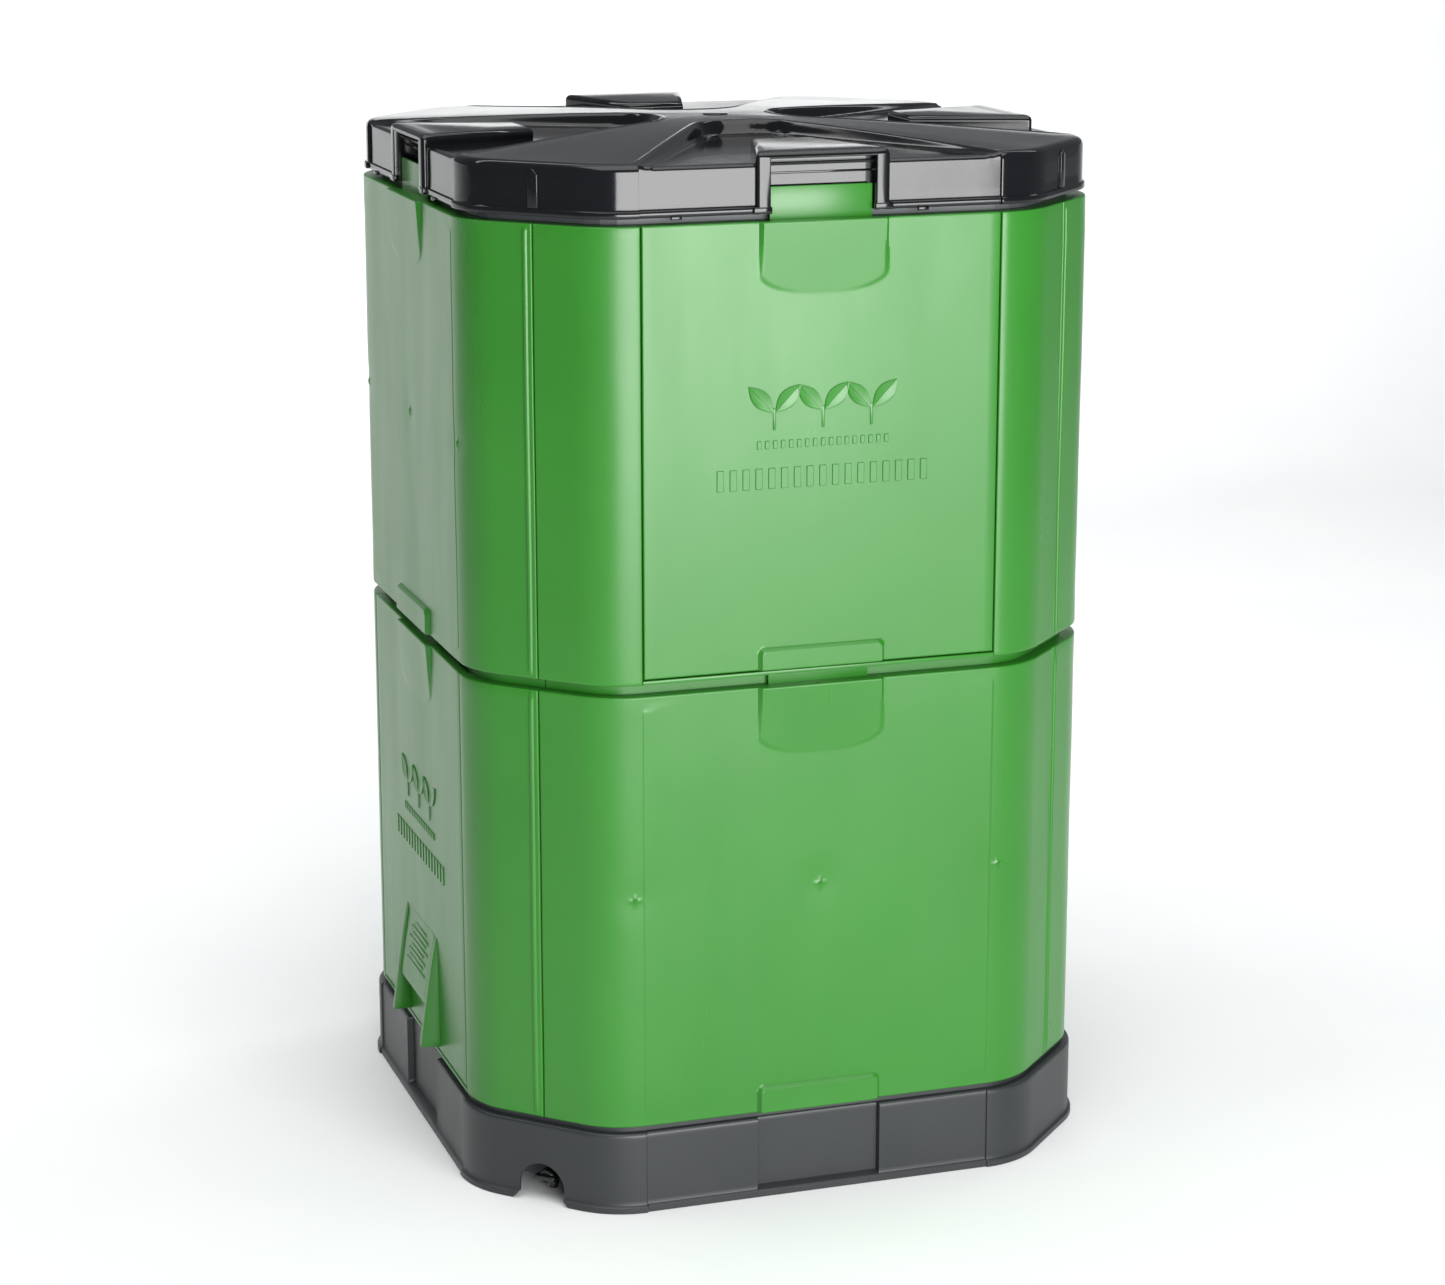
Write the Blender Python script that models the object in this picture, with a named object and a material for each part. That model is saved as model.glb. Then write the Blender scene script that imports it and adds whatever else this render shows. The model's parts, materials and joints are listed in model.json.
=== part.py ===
"""Two-tier insulated aerating compost bin, 400 litre class, in metres, +Z up.

The origin is on the floor under the middle of the bin. The front faces -Y.
Every wall piece is modelled as the front one, then turned to its own side.
"""

import math

import bmesh
import bpy
from mathutils import Matrix, Vector

# Plan of the walls: a square whose corners are cut by a soft-edged chamfer.
half_width = 0.370  # centre to the flat wall face
corner_width = 0.164  # from the wall face to where the bend of the next wall starts
seam_inset = 0.063  # wall face to the seam in the middle of each chamfer
bend_steps = 3
wall_depth = 0.038  # outer face to inner face of a wall
skin = 0.0025
fit_gap = 0.0003  # between pieces that touch
seam_gap = 0.0015  # open joint between neighbouring panels

# Heights.
base_height = 0.094
plinth_rise = 0.006  # the walls stand this far above the base's rim
tier_height = 0.498
tier_gap = 0.013
lid_gap = 0.008  # wall top to the lid's lip
skirt_height = 0.057
dome_rise = 0.016
dome_steps = ((0.62, 0.62), (0.50, 0.30), (0.20, 0.08))  # shares of width and of rise

# Raised strip beside each corner seam, on the left and right panels.
bead_width = 0.011
bead_height = 0.002

# Tongue on each panel's top edge, the swell in front of it, and the tab at the bottom edge.
tongue_half = 0.0585
tongue_set_back = 0.010
tongue_thickness = 0.003
lid_tongue_height = 0.036
tier_tongue_height = 0.028
tongue_room = 0.002  # clearance round a tongue in its pocket
swell_margin = 0.0155  # the swell is this much wider than the tongue, each side
swell_height = 0.079
swell_proud = 0.0055  # at the top edge, from nothing at its foot
tab_margin = 0.0145  # the same, for the raised tab at the bottom edge
tab_height = 0.032
tab_proud = 0.005
swing_room = 0.015  # extra depth behind a door's tongue, which swings inwards
rib_set_back = 0.017  # rib on each lower panel, which carries the upper tier
rib_thickness = 0.003
hinge_drop = 0.002  # door's axis below the panel that its tongue bears on
past = 0.010  # how far a cutter runs past what it cuts

# Framed panels, with a full-height door or hatch.
rebate_depth = 0.014
door_gap = 0.0015
sill_strip = 0.0045
stile_width = 0.023
bar_height = 0.022
plug_room = 0.003

# Grip at the bottom of each door.
grip_half = 0.075
grip_top = 0.145  # above the door frame's bottom edge
grip_bottom = 0.010
grip_reach = 0.022
hood_bottom = 0.058
fin_width = 0.012
hood_thickness = 0.003

# Base, sump and tap.
base_wall = 0.0035
base_proud = 0.006
lip_proud = 0.010
lip_height = 0.008
flat_set_back = 0.002
rim_inset = 0.004
step_depth = 0.0075
upstand_thickness = 0.003
upstand_height = 0.021
flange_room = 0.0017  # upstand to the tray's flange
tray_flange = 0.007
tray_wall = 0.003
tray_bottom = 0.006
grate_thickness = 0.004
slot_width = 0.008
slot_length = 0.090
slot_pitch = 0.030
air_hole = 0.100
arch_radius = 0.029
arch_centre = 0.017
tap_radius = 0.008
barrel_length = 0.030
barrel_radius = 0.0095
tap_flange_radius = 0.016
spout_radius = 0.006
spout_drop = 0.018
spout_inset = 0.002
spout_bore = 0.0036
knob_radius = 0.009
knob_length = 0.010
wing_half = 0.0125
wing_thickness = 0.006
wing_proud = 0.004
knob_gap = 0.0005
washer_radius = 0.015
washer_thickness = 0.003
nut_thickness = 0.008
nut_radius = 0.0155
nut_room = 0.0015  # nut to the tray's floor
thread_end = 0.004  # thread past the nut

# Aeration column in the middle of the bin.
lung_half = 0.085
lung_wall = 0.0025
lung_headroom = 0.064  # lung top to the walls' top
louvre_height = 0.010
louvre_count = 5
louvre_margin = 0.032  # at each end of the wide louvres
side_louvre = (0.021, 0.070)  # span of the side louvres from the middle
cap_rise = 0.040
cap_overhang = 0.012
cap_flat = 0.029
cap_wall = 0.008

# Lid.
lid_inset = 0.004  # skirt corners behind the wall face
lip_inset = 0.001
lid_lip_height = 0.008
lid_set_back = 0.003
lid_wall = 0.003
valley_tip = 0.075  # how near each side's valley comes to the centre
valley_tip_half = 0.030
valley_drop = 0.001
housing_tail_half = 0.035
housing_tail = 0.140
housing_rise = 0.009
housing_leg = 0.0175  # outside of the housing to its notch
notch_room = 0.0015  # tongue to the notch's sides
notch_reach = 0.005  # tongue to the notch's back
notch_over = 0.001  # notch above the skirt's top
liner_room = 0.001
liner_height = 0.018
plug_inset = 0.0015
plug_drop = 0.014

# What follows from the sizes above.
flat_half = half_width - corner_width  # half the width of the flat face
seam_reach = half_width - seam_inset  # x and y of the seam
bend_radius = (corner_width - 2 * seam_inset) / (math.sqrt(2) - 1)
swell_half = tongue_half + swell_margin
tab_half = tongue_half + tab_margin
opening_half = flat_half - stile_width
upstand_back = wall_depth + fit_gap + upstand_thickness
flange_edge = upstand_back + flange_room
deck_width = flange_edge + tray_flange
tap_height = tray_bottom + tray_wall + nut_radius + nut_room
notch_half = tongue_half + notch_room
notch_depth = tongue_set_back + tongue_thickness + notch_reach
notch_top = skirt_height + notch_over
housing_half = notch_half + housing_leg
liner_inset = notch_depth + lid_wall + liner_room
lower_bottom = base_height + plinth_rise
lower_top = lower_bottom + tier_height
upper_bottom = lower_top + tier_gap
upper_top = upper_bottom + tier_height
lid_bottom = upper_top + lid_gap
skirt_top = lid_bottom + skirt_height
lid_top = skirt_top + dome_rise
lung_top = upper_top - lung_headroom
hinge_z = upper_bottom - hinge_drop

green = (0.115, 0.345, 0.130)
inner_green = (0.100, 0.260, 0.110)
black = (0.012, 0.013, 0.014)
base_black = (0.035, 0.040, 0.043)
foam = (0.82, 0.82, 0.80)
grey = (0.10, 0.10, 0.10)

for old in list(bpy.data.objects):
    bpy.data.objects.remove(old)

parts = bpy.data.collections.new("compost_bin")
cutters = bpy.data.collections.new("cutters")
bpy.context.scene.collection.children.link(parts)
bpy.context.scene.collection.children.link(cutters)


# ---- outlines in plan ----


def arc(centre, radius, start, end, steps):
    """Points on an arc, angles in degrees."""
    angles = [math.radians(start + (end - start) * i / steps) for i in range(steps + 1)]
    return [
        (centre[0] + radius * math.cos(a), centre[1] + radius * math.sin(a)) for a in angles
    ]


def front_path(offset, set_back=0.0):
    """The front side's outline from bend to bend, offset inwards from the wall face."""
    radius = bend_radius - offset
    centre = (flat_half, bend_radius - half_width)
    right = arc(centre, radius, -90, -45, bend_steps)
    if set_back:
        slant = set_back / 4
        right.insert(0, (flat_half - slant, offset + set_back - half_width))
    left = [(-x, y) for x, y in reversed(right)]
    return left + right


def turned(points, quarter):
    """Points turned by quarter turns about the centre."""
    cos = (1, 0, -1, 0)[quarter % 4]
    sin = (0, 1, 0, -1)[quarter % 4]
    return [(x * cos - y * sin, x * sin + y * cos) for x, y in points]


def ring(offset, set_back=0.0):
    """The whole outline, anticlockwise."""
    path = front_path(offset, set_back)
    return [point for quarter in range(4) for point in turned(path, quarter)]


def panel_outline(outer, inner, inset, bead=False):
    """Plan of a panel between two offsets, ending short of both seams."""
    run = Vector((1, 1)) / math.sqrt(2)
    out = Vector((1, -1)) / math.sqrt(2)

    def end(offset):
        reach = seam_reach - offset / math.sqrt(2)
        return Vector((reach, -reach)) - run * inset

    right = [end(outer)]
    if bead:
        flank = bead_height  # the strip's inner edge slopes this far
        crest = right[0] + out * bead_height
        right = [right[0] - run * (bead_width + flank), crest - run * bead_width, crest]
    outside = [tuple(p) for p in right]
    inside = [tuple(end(inner))]
    outer_path = [(-x, y) for x, y in reversed(outside)] + front_path(outer) + outside
    inner_path = [(-x, y) for x, y in reversed(inside)] + front_path(inner) + inside
    return outer_path + inner_path[::-1]


# ---- solids ----


def material_for(name, colour, roughness):
    material = bpy.data.materials.new(name)
    material.use_nodes = True
    shader = material.node_tree.nodes["Principled BSDF"]
    shader.inputs["Base Color"].default_value = (*colour, 1)
    shader.inputs["Roughness"].default_value = roughness
    shader.inputs["Metallic"].default_value = 0.0
    material.diffuse_color = (*colour, 1)
    return material


def as_mesh(curve_object):
    """A mesh object in a curve's place, with its caps welded on."""
    bpy.context.view_layer.update()
    graph = bpy.context.evaluated_depsgraph_get()
    mesh = bpy.data.meshes.new_from_object(curve_object.evaluated_get(graph))
    made = bpy.data.objects.new(curve_object.name, mesh)
    made.matrix_world = curve_object.matrix_world
    bpy.data.objects.remove(curve_object)
    work = bmesh.new()
    work.from_mesh(mesh)
    bmesh.ops.remove_doubles(work, verts=work.verts, dist=1e-6)
    bmesh.ops.recalc_face_normals(work, faces=work.faces)
    work.to_mesh(mesh)
    work.free()
    return made


def put_in_place(made):
    """Moves an object's transform into its mesh."""
    made.data.transform(made.matrix_world)
    made.matrix_world = Matrix()
    cutters.objects.link(made)
    made.hide_render = True
    made.display_type = "WIRE"
    return made


def prism(outline, low, high, turn=None):
    """A flat outline extruded between two heights, then turned by a matrix."""
    curve = bpy.data.curves.new("prism", "CURVE")
    curve.dimensions = "2D"
    curve.fill_mode = "BOTH"
    curve.extrude = (high - low) / 2
    spline = curve.splines.new("POLY")
    spline.points.add(len(outline) - 1)
    for point, (x, y) in zip(spline.points, outline):
        point.co = (x, y, 0, 1)
    spline.use_cyclic_u = True
    made = bpy.data.objects.new("prism", curve)
    bpy.context.scene.collection.objects.link(made)
    made.matrix_world = (turn or Matrix()) @ Matrix.Translation((0, 0, (low + high) / 2))
    return put_in_place(as_mesh(made))


def side_prism(profile, left, right):
    """A (y, z) profile extruded along X."""
    upright = Matrix(((0, 0, 1, 0), (1, 0, 0, 0), (0, 1, 0, 0), (0, 0, 0, 1)))
    return prism(profile, left, right, upright)


def box(x, y, z):
    """A block between pairs of coordinates."""
    work = bmesh.new()
    bmesh.ops.create_cube(work, size=1)
    size = Matrix.Diagonal((x[1] - x[0], y[1] - y[0], z[1] - z[0], 1))
    middle = ((x[0] + x[1]) / 2, (y[0] + y[1]) / 2, (z[0] + z[1]) / 2)
    bmesh.ops.transform(work, matrix=Matrix.Translation(middle) @ size, verts=work.verts)
    mesh = bpy.data.meshes.new("box")
    work.to_mesh(mesh)
    work.free()
    return put_in_place(bpy.data.objects.new("box", mesh))


def front_box(half, offsets, z):
    """A block centred on the front wall, its depth given as offsets from the wall face."""
    return box((-half, half), (offsets[0] - half_width, offsets[1] - half_width), z)


def cylinder(radius, start, end, sides=16, end_radius=None):
    """A cylinder or cone between two points."""
    start = Vector(start)
    end = Vector(end)
    work = bmesh.new()
    bmesh.ops.create_cone(
        work,
        cap_ends=True,
        segments=sides,
        radius1=radius,
        radius2=radius if end_radius is None else end_radius,
        depth=(end - start).length,
    )
    aim = (end - start).to_track_quat("Z", "Y").to_matrix().to_4x4()
    bmesh.ops.transform(
        work, matrix=Matrix.Translation((start + end) / 2) @ aim, verts=work.verts
    )
    mesh = bpy.data.meshes.new("cylinder")
    work.to_mesh(mesh)
    work.free()
    return put_in_place(bpy.data.objects.new("cylinder", mesh))


def combine(body, operation, *others):
    """Joins solids to a body or cuts them from it, and drops them."""
    for other in others:
        modifier = body.modifiers.new("shape", "BOOLEAN")
        modifier.operation = operation
        modifier.solver = "EXACT"
        modifier.object = other
        bpy.context.view_layer.update()
        graph = bpy.context.evaluated_depsgraph_get()
        mesh = bpy.data.meshes.new_from_object(body.evaluated_get(graph))
        body.modifiers.clear()
        body.data = mesh
        bpy.data.objects.remove(other)
    return body


def add(body, *others):
    return combine(body, "UNION", *others)


def cut(body, *others):
    return combine(body, "DIFFERENCE", *others)


def keep(body, other):
    return combine(body, "INTERSECT", other)


def on_each_side(maker):
    """Four copies of a shape, one for each side."""
    for quarter in range(4):
        made = maker()
        made.data.transform(Matrix.Rotation(quarter * math.pi / 2, 4, "Z"))
        yield made


def finish(name, body, colour, roughness, side=0, pivot=None, smooth=False):
    """Names a finished piece, turns it to its side and gives it its own material."""
    work = bmesh.new()
    work.from_mesh(body.data)
    flat = math.radians(0.05)
    bmesh.ops.dissolve_limit(work, angle_limit=flat, verts=work.verts, edges=work.edges)
    work.to_mesh(body.data)
    work.free()
    body.data.transform(Matrix.Rotation(side * math.pi / 2, 4, "Z"))
    if pivot:
        body.data.transform(Matrix.Translation(-Vector(pivot)))
        body.location = pivot
    cutters.objects.unlink(body)
    parts.objects.link(body)
    body.name = name
    body.data.name = name
    body.hide_render = False
    body.display_type = "TEXTURED"
    body.data.materials.clear()
    body.data.materials.append(material_for(name, colour, roughness))
    if smooth:
        body.data.shade_smooth()
        body.data.set_sharp_from_angle(angle=math.radians(30))
    return body


# ---- shared features of the wall panels ----


def swell(top):
    """A wedge that stands proudest at the panel's top edge."""
    face = -half_width
    profile = [
        (face + skin / 2, top - swell_height),
        (face, top - swell_height),
        (face - swell_proud, top),
        (face + skin / 2, top),
    ]
    return side_prism(profile, -swell_half, swell_half)


def raised_tab(low, bottom):
    """A tab that starts at the panel's lower edge and ends a set height above its bottom."""
    return front_box(tab_half, (-tab_proud, skin / 2), (low, bottom + tab_height))


def tongue(top, height):
    back = tongue_set_back + tongue_thickness
    return front_box(tongue_half, (tongue_set_back, back), (top - skin, top + height))


def pocket(bottom, swings, grow=0.0):
    """Room for the tongue of the panel below."""
    reach = tongue_set_back + tongue_thickness + tongue_room + (swing_room if swings else 0)
    high = upper_bottom - tier_gap + tier_tongue_height + tongue_room + grow
    front = tongue_set_back - tongue_room
    return front_box(tongue_half + tongue_room + grow, (front, reach + grow), (bottom, high))


def tier_rib(top):
    """The rib on a lower panel's top that the upper tier stands on."""
    plan = panel_outline(rib_set_back, rib_set_back + rib_thickness, seam_gap / 2)
    return prism(plan, top - skin / 2, top + tier_gap - fit_gap)


# ---- plain panels ----


def plain_panel(name, side, bottom, top, tongue_height, bead, receives, swings):
    """Outer skin, insulation and inner skin of one wall without a door."""
    edge = seam_gap / 2
    outer = prism(panel_outline(0, wall_depth, edge, bead), bottom, top)
    hollow = panel_outline(skin, wall_depth + skin, edge + skin)
    cut(outer, prism(hollow, bottom + skin, top - skin))
    add(outer, swell(top), raised_tab(bottom, bottom), tongue(top, tongue_height))
    if receives:
        cut(outer, pocket(bottom - skin, swings))
    else:
        add(outer, tier_rib(top))
    finish(name + "_outer_skin", outer, green, 0.32, side)

    low = bottom + skin + fit_gap
    high = top - skin - fit_gap
    inset = edge + skin + fit_gap
    plan = panel_outline(skin + fit_gap, wall_depth - skin - fit_gap, inset)
    core = prism(plan, low, high)
    if receives:
        cut(core, pocket(bottom, swings, fit_gap))
    finish(name + "_insulation", core, foam, 0.9, side)

    plan = panel_outline(wall_depth - skin, wall_depth, inset)
    finish(name + "_inner_skin", prism(plan, low, high), inner_green, 0.5, side)


# ---- framed panels ----


def frame_hollow(bottom, top, clear):
    """The space inside a door frame's shell, with a clearance on every wall."""
    edge = seam_gap / 2 + skin + clear
    depth = wall_depth + skin if clear == 0 else wall_depth - skin - clear
    plan = panel_outline(skin + clear, depth, edge)
    hollow = prism(plan, bottom + skin + clear, top - skin - clear)
    grow = skin + clear
    rebate = front_box(
        flat_half + grow, (-past, rebate_depth + grow), (bottom - past, top + past)
    )
    opening = front_box(
        opening_half + grow,
        (-past, wall_depth + past),
        (bottom + bar_height - grow, top - bar_height + grow),
    )
    return cut(hollow, rebate, opening)


def frame_panel(name, side, bottom, top, bead, receives):
    """Shell, insulation and inner skin of a wall whose flat part is a door or a hatch."""
    edge = seam_gap / 2
    outer = prism(panel_outline(0, wall_depth, edge, bead), bottom, top)
    cut(
        outer,
        front_box(flat_half, (-past, rebate_depth), (bottom + sill_strip, top + past)),
        front_box(
            opening_half, (-past, wall_depth + past), (bottom + bar_height, top - bar_height)
        ),
    )
    cut(outer, frame_hollow(bottom, top, 0))
    if receives:
        cut(outer, pocket(bottom - skin, False))
    else:
        add(outer, tier_rib(top))
    finish(name + "_outer", outer, green, 0.32, side)

    core = frame_hollow(bottom, top, fit_gap)
    finish(name + "_insulation", core, foam, 0.9, side)

    inset = edge + skin + fit_gap
    grow = skin + fit_gap
    plan = panel_outline(wall_depth - skin, wall_depth, inset)
    inner = prism(plan, bottom + skin + fit_gap, top - skin - fit_gap)
    window = (bottom + bar_height - grow, top - bar_height + grow)
    cut(inner, front_box(opening_half + grow, (0, wall_depth + past), window))
    finish(name + "_inner", inner, inner_green, 0.5, side)


def door_hollow(bottom, top, clear):
    """The space inside a door: a wide shallow part and the deep plug."""
    grow = skin + clear
    wide = front_box(
        flat_half - door_gap - grow,
        (grow, rebate_depth - door_gap / 2 - grow),
        (bottom + sill_strip + door_gap + grow, top - grow),
    )
    depth = wall_depth + skin if clear == 0 else wall_depth - skin - clear
    edge = bar_height + plug_room + grow
    plug = front_box(
        opening_half - plug_room - grow, (grow, depth), (bottom + edge, top - edge)
    )
    return add(wide, plug)


def grip(bottom):
    """A hood between two fins, open below for the fingers."""
    face = -half_width
    root = face + skin / 2
    slope = grip_reach / (grip_top - grip_bottom)

    def front(height, thickness=0.0):
        return face - (grip_top - height) * slope + thickness

    outline = [
        (root, bottom + grip_top),
        (front(grip_top), bottom + grip_top),
        (front(grip_bottom), bottom + grip_bottom),
        (root, bottom + grip_bottom),
    ]
    made = side_prism(outline, -grip_half, grip_half)
    inside = grip_half - fin_width
    hollow_top = grip_top - hood_thickness / slope
    hollow = [
        (face, bottom + hollow_top),
        (front(0, hood_thickness), bottom),
        (face, bottom),
    ]
    cut(made, side_prism(hollow, -inside, inside))
    mouth = (bottom, bottom + hood_bottom)
    return cut(made, box((-inside, inside), (face - grip_reach - past, face), mouth))


def door_panel(name, side, bottom, top, tongue_height, receives, pivot=None, has_grip=False):
    """A door or a hatch: outer shell, insulation and inner skin."""
    low = bottom + sill_strip + door_gap
    plate_back = rebate_depth - door_gap / 2
    outer = front_box(flat_half - door_gap, (0, plate_back), (low, top))
    edge = bar_height + plug_room
    plug = front_box(
        opening_half - plug_room, (skin, wall_depth), (bottom + edge, top - edge)
    )
    cut(add(outer, plug), door_hollow(bottom, top, 0))
    add(outer, swell(top), tongue(top, tongue_height))
    add(outer, grip(bottom) if has_grip else raised_tab(low, bottom))
    if receives:
        cut(outer, pocket(bottom - skin, False))
    finish(name + "_outer", outer, green, 0.32, side, pivot)

    core = door_hollow(bottom, top, fit_gap)
    if receives:
        cut(core, pocket(bottom, False, fit_gap))
    finish(name + "_insulation", core, foam, 0.9, side, pivot)

    grow = skin + fit_gap
    inner = front_box(
        opening_half - plug_room - grow,
        (wall_depth - skin, wall_depth),
        (bottom + edge + grow, top - edge - grow),
    )
    finish(name + "_inner", inner, inner_green, 0.5, side, pivot)


# ---- base ----


def annulus(outer, inner, low, high):
    return cut(prism(ring(outer), low, high), prism(ring(inner), low - past, high + past))


def centre_step(grow):
    """The shallow recess in the middle of each side, or the wall behind it."""
    back = flat_set_back - base_proud + step_depth + grow
    low = lip_height + base_wall - grow
    return front_box(tab_half + grow, (-lip_proud - past, back), (low, base_height + past))


def base_shell():
    outer = prism(ring(-base_proud, flat_set_back), lip_height / 2, base_height)
    add(outer, prism(ring(-lip_proud, flat_set_back), 0, lip_height))
    under = base_height - base_wall
    hollow = prism(ring(base_wall - base_proud, flat_set_back), -past, under)
    cut(hollow, *on_each_side(lambda: centre_step(base_wall)))
    cut(outer, hollow, prism(ring(deck_width), -2 * past, base_height + past))
    cut(outer, *on_each_side(lambda: centre_step(0)))
    bedded = base_height - base_wall / 2
    inside = wall_depth + fit_gap
    lap = upstand_thickness / 4
    plinth_top = base_height + plinth_rise - fit_gap
    add(outer, annulus(rim_inset, inside + lap, bedded, plinth_top))
    add(outer, annulus(inside, upstand_back, bedded - lap, base_height + upstand_height))
    cut(outer, tap_arch())
    finish("base_shell", outer, base_black, 0.45)


def corner_frame(height):
    """A frame whose X points out through the front left chamfer."""
    return Matrix.Translation((0, 0, height)) @ Matrix.Rotation(math.radians(225), 4, "Z")


def tap_arch():
    chamfer = seam_reach * math.sqrt(2)
    crown = arc((0, arch_centre), arch_radius, 0, 180, 10)
    outline = crown + [(-arch_radius, -past), (arch_radius, -past)]
    made = side_prism(outline, chamfer - 2 * past, chamfer + lip_proud + past)
    made.data.transform(corner_frame(0))
    return made


def sump_tray():
    inset = deck_width + fit_gap
    outer = prism(ring(inset), tray_bottom, base_height + fit_gap)
    flange_low = base_height + fit_gap
    flange_high = flange_low + tray_wall
    add(outer, prism(ring(flange_edge), flange_low, flange_high))
    cut(outer, prism(ring(inset + tray_wall), tray_bottom + tray_wall, flange_high + past))
    wall = tap_wall()
    hole = cylinder(tap_radius + fit_gap, (wall - past, 0, 0), (wall + past, 0, 0))
    hole.data.transform(corner_frame(tap_height))
    cut(outer, hole)
    finish("sump_tray", outer, grey, 0.5)


def tap_wall():
    """Distance from the centre to the tray's wall, along the chamfer's normal."""
    return seam_reach * math.sqrt(2) - deck_width - fit_gap


def tap():
    wall = tap_wall()
    place = corner_frame(tap_height)
    washer_out = wall + fit_gap + washer_thickness
    flange_in = washer_out + fit_gap
    flange_out = flange_in + washer_thickness
    barrel_end = flange_out + barrel_length
    nut_out = wall - tray_wall - fit_gap
    nut_in = nut_out - nut_thickness
    thread_in = nut_in - thread_end

    body = cylinder(tap_radius, (thread_in, 0, 0), (flange_out, 0, 0))
    add(body, cylinder(tap_flange_radius, (flange_in, 0, 0), (flange_out, 0, 0), 24))
    flange_middle = flange_in + washer_thickness / 2
    add(body, cylinder(barrel_radius, (flange_middle, 0, 0), (barrel_end, 0, 0)))
    spout = barrel_end - spout_radius - spout_inset
    add(body, cylinder(spout_radius, (spout, 0, 0), (spout, 0, -spout_drop), 12))
    drop = (spout, 0, -spout_drop - past)
    cut(body, cylinder(spout_bore, (spout, 0, spout_bore / 2), drop, 12))
    through = (spout + spout_bore / 3, 0, 0)
    cut(body, cylinder(spout_bore, (thread_in - past, 0, 0), through, 10))
    body.data.transform(place)
    finish("tap_body", body, black, 0.4, smooth=True)

    hole = ((nut_in - past, 0, 0), (washer_out + past, 0, 0))
    washer = cylinder(washer_radius, (wall + fit_gap, 0, 0), (washer_out, 0, 0), 24)
    cut(washer, cylinder(tap_radius + fit_gap, *hole))
    washer.data.transform(place)
    finish("tap_washer", washer, grey, 0.8, smooth=True)

    nut = cylinder(nut_radius, (nut_in, 0, 0), (nut_out, 0, 0), 6)
    cut(nut, cylinder(tap_radius + fit_gap, *hole))
    nut.data.transform(place)
    finish("tap_nut", nut, black, 0.4)

    knob_in = barrel_end + knob_gap
    knob = cylinder(knob_radius, (knob_in, 0, 0), (knob_in + knob_length, 0, 0), 20)
    wing = box(
        (knob_in + knob_length / 2, knob_in + knob_length + wing_proud),
        (-wing_half, wing_half),
        (-wing_thickness / 2, wing_thickness / 2),
    )
    add(knob, wing)
    knob.data.transform(place)
    pivot = place @ Vector((knob_in, 0, 0))
    finish("tap_knob", knob, black, 0.4, pivot=pivot, smooth=True)


def drain_grate():
    low = base_height + tray_wall + 2 * fit_gap
    high = low + grate_thickness
    plate = prism(ring(flange_edge + fit_gap), low, high)
    reach = half_width - deck_width
    hole = air_hole / 2
    through = (low - past, high + past)
    cut(plate, box((-hole, hole), (-hole, hole), through))
    rows = int((reach - lung_half - slot_pitch) / slot_pitch)
    for row in range(rows):
        near = lung_half + slot_pitch * (row + 1)
        for place in (-1, 0, 1):
            middle = place * (slot_length + slot_pitch)
            for sign in (-1, 1):
                y = sorted((sign * near, sign * (near + slot_width)))
                x = (middle - slot_length / 2, middle + slot_length / 2)
                cut(plate, box(x, y, through))
    finish("drain_grate", plate, grey, 0.5)
    return high


# ---- aeration column ----


def lung_half_shell(name, low, high, side):
    """Half of a square tube, open to the other half, with rows of louvres."""
    gap = fit_gap / 2
    shell = box((-lung_half, lung_half), (-lung_half, -gap), (low, high))
    inside = lung_half - lung_wall
    cut(shell, box((-inside, inside), (-inside, gap), (low - past, high + past)))
    pitch = (high - low) / (louvre_count + 1)
    for row in range(louvre_count):
        middle = low + pitch * (row + 1)
        z = (middle - louvre_height / 2, middle + louvre_height / 2)
        half = lung_half - louvre_margin
        cut(shell, box((-half, half), (-lung_half - past, -inside + past), z))
        y = (-side_louvre[1], -side_louvre[0])
        cut(shell, box((-lung_half - past, lung_half + past), y, z))
    finish(name, shell, grey, 0.5, side)


def lung(floor):
    low = floor + fit_gap
    middle = low + (lung_top - low) / 2
    for side, half in ((0, "front"), (2, "back")):
        lung_half_shell("lung_lower_" + half, low, middle - fit_gap / 2, side)
        lung_half_shell("lung_upper_" + half, middle + fit_gap / 2, lung_top, side)
    foot = lung_top + fit_gap
    wide = (lung_half + cap_overhang) * math.sqrt(2)
    flat = cap_flat * math.sqrt(2)
    cap = cylinder(wide, (0, 0, foot), (0, 0, foot + cap_rise), 4, flat)
    hollow_foot = foot - cap_wall / 2
    ceiling = (0, 0, foot + cap_rise - cap_wall)
    cut(cap, cylinder(wide - cap_wall, (0, 0, hollow_foot), ceiling, 4, flat - cap_wall))
    cap.data.transform(Matrix.Rotation(math.pi / 4, 4, "Z"))
    finish("lung_cap", cap, grey, 0.5)


# ---- lid ----


def dome(offset, bottom, low, high):
    """A prism whose top rises to a low dome."""
    made = prism(ring(offset), bottom, low)
    work = bmesh.new()
    work.from_mesh(made.data)
    bmesh.ops.dissolve_limit(
        work, angle_limit=math.radians(1), verts=work.verts, edges=work.edges
    )
    work.faces.ensure_lookup_table()
    top = max(work.faces, key=lambda face: face.calc_center_median().z)
    for share, rise in dome_steps:
        grown = bmesh.ops.extrude_discrete_faces(work, faces=[top])
        top = grown["faces"][0]
        bmesh.ops.scale(work, vec=(share, share, 1), verts=top.verts)
        bmesh.ops.translate(work, vec=(0, 0, (high - low) * rise), verts=top.verts)
    bmesh.ops.triangulate(work, faces=work.faces)
    work.to_mesh(made.data)
    work.free()
    return made


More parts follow.
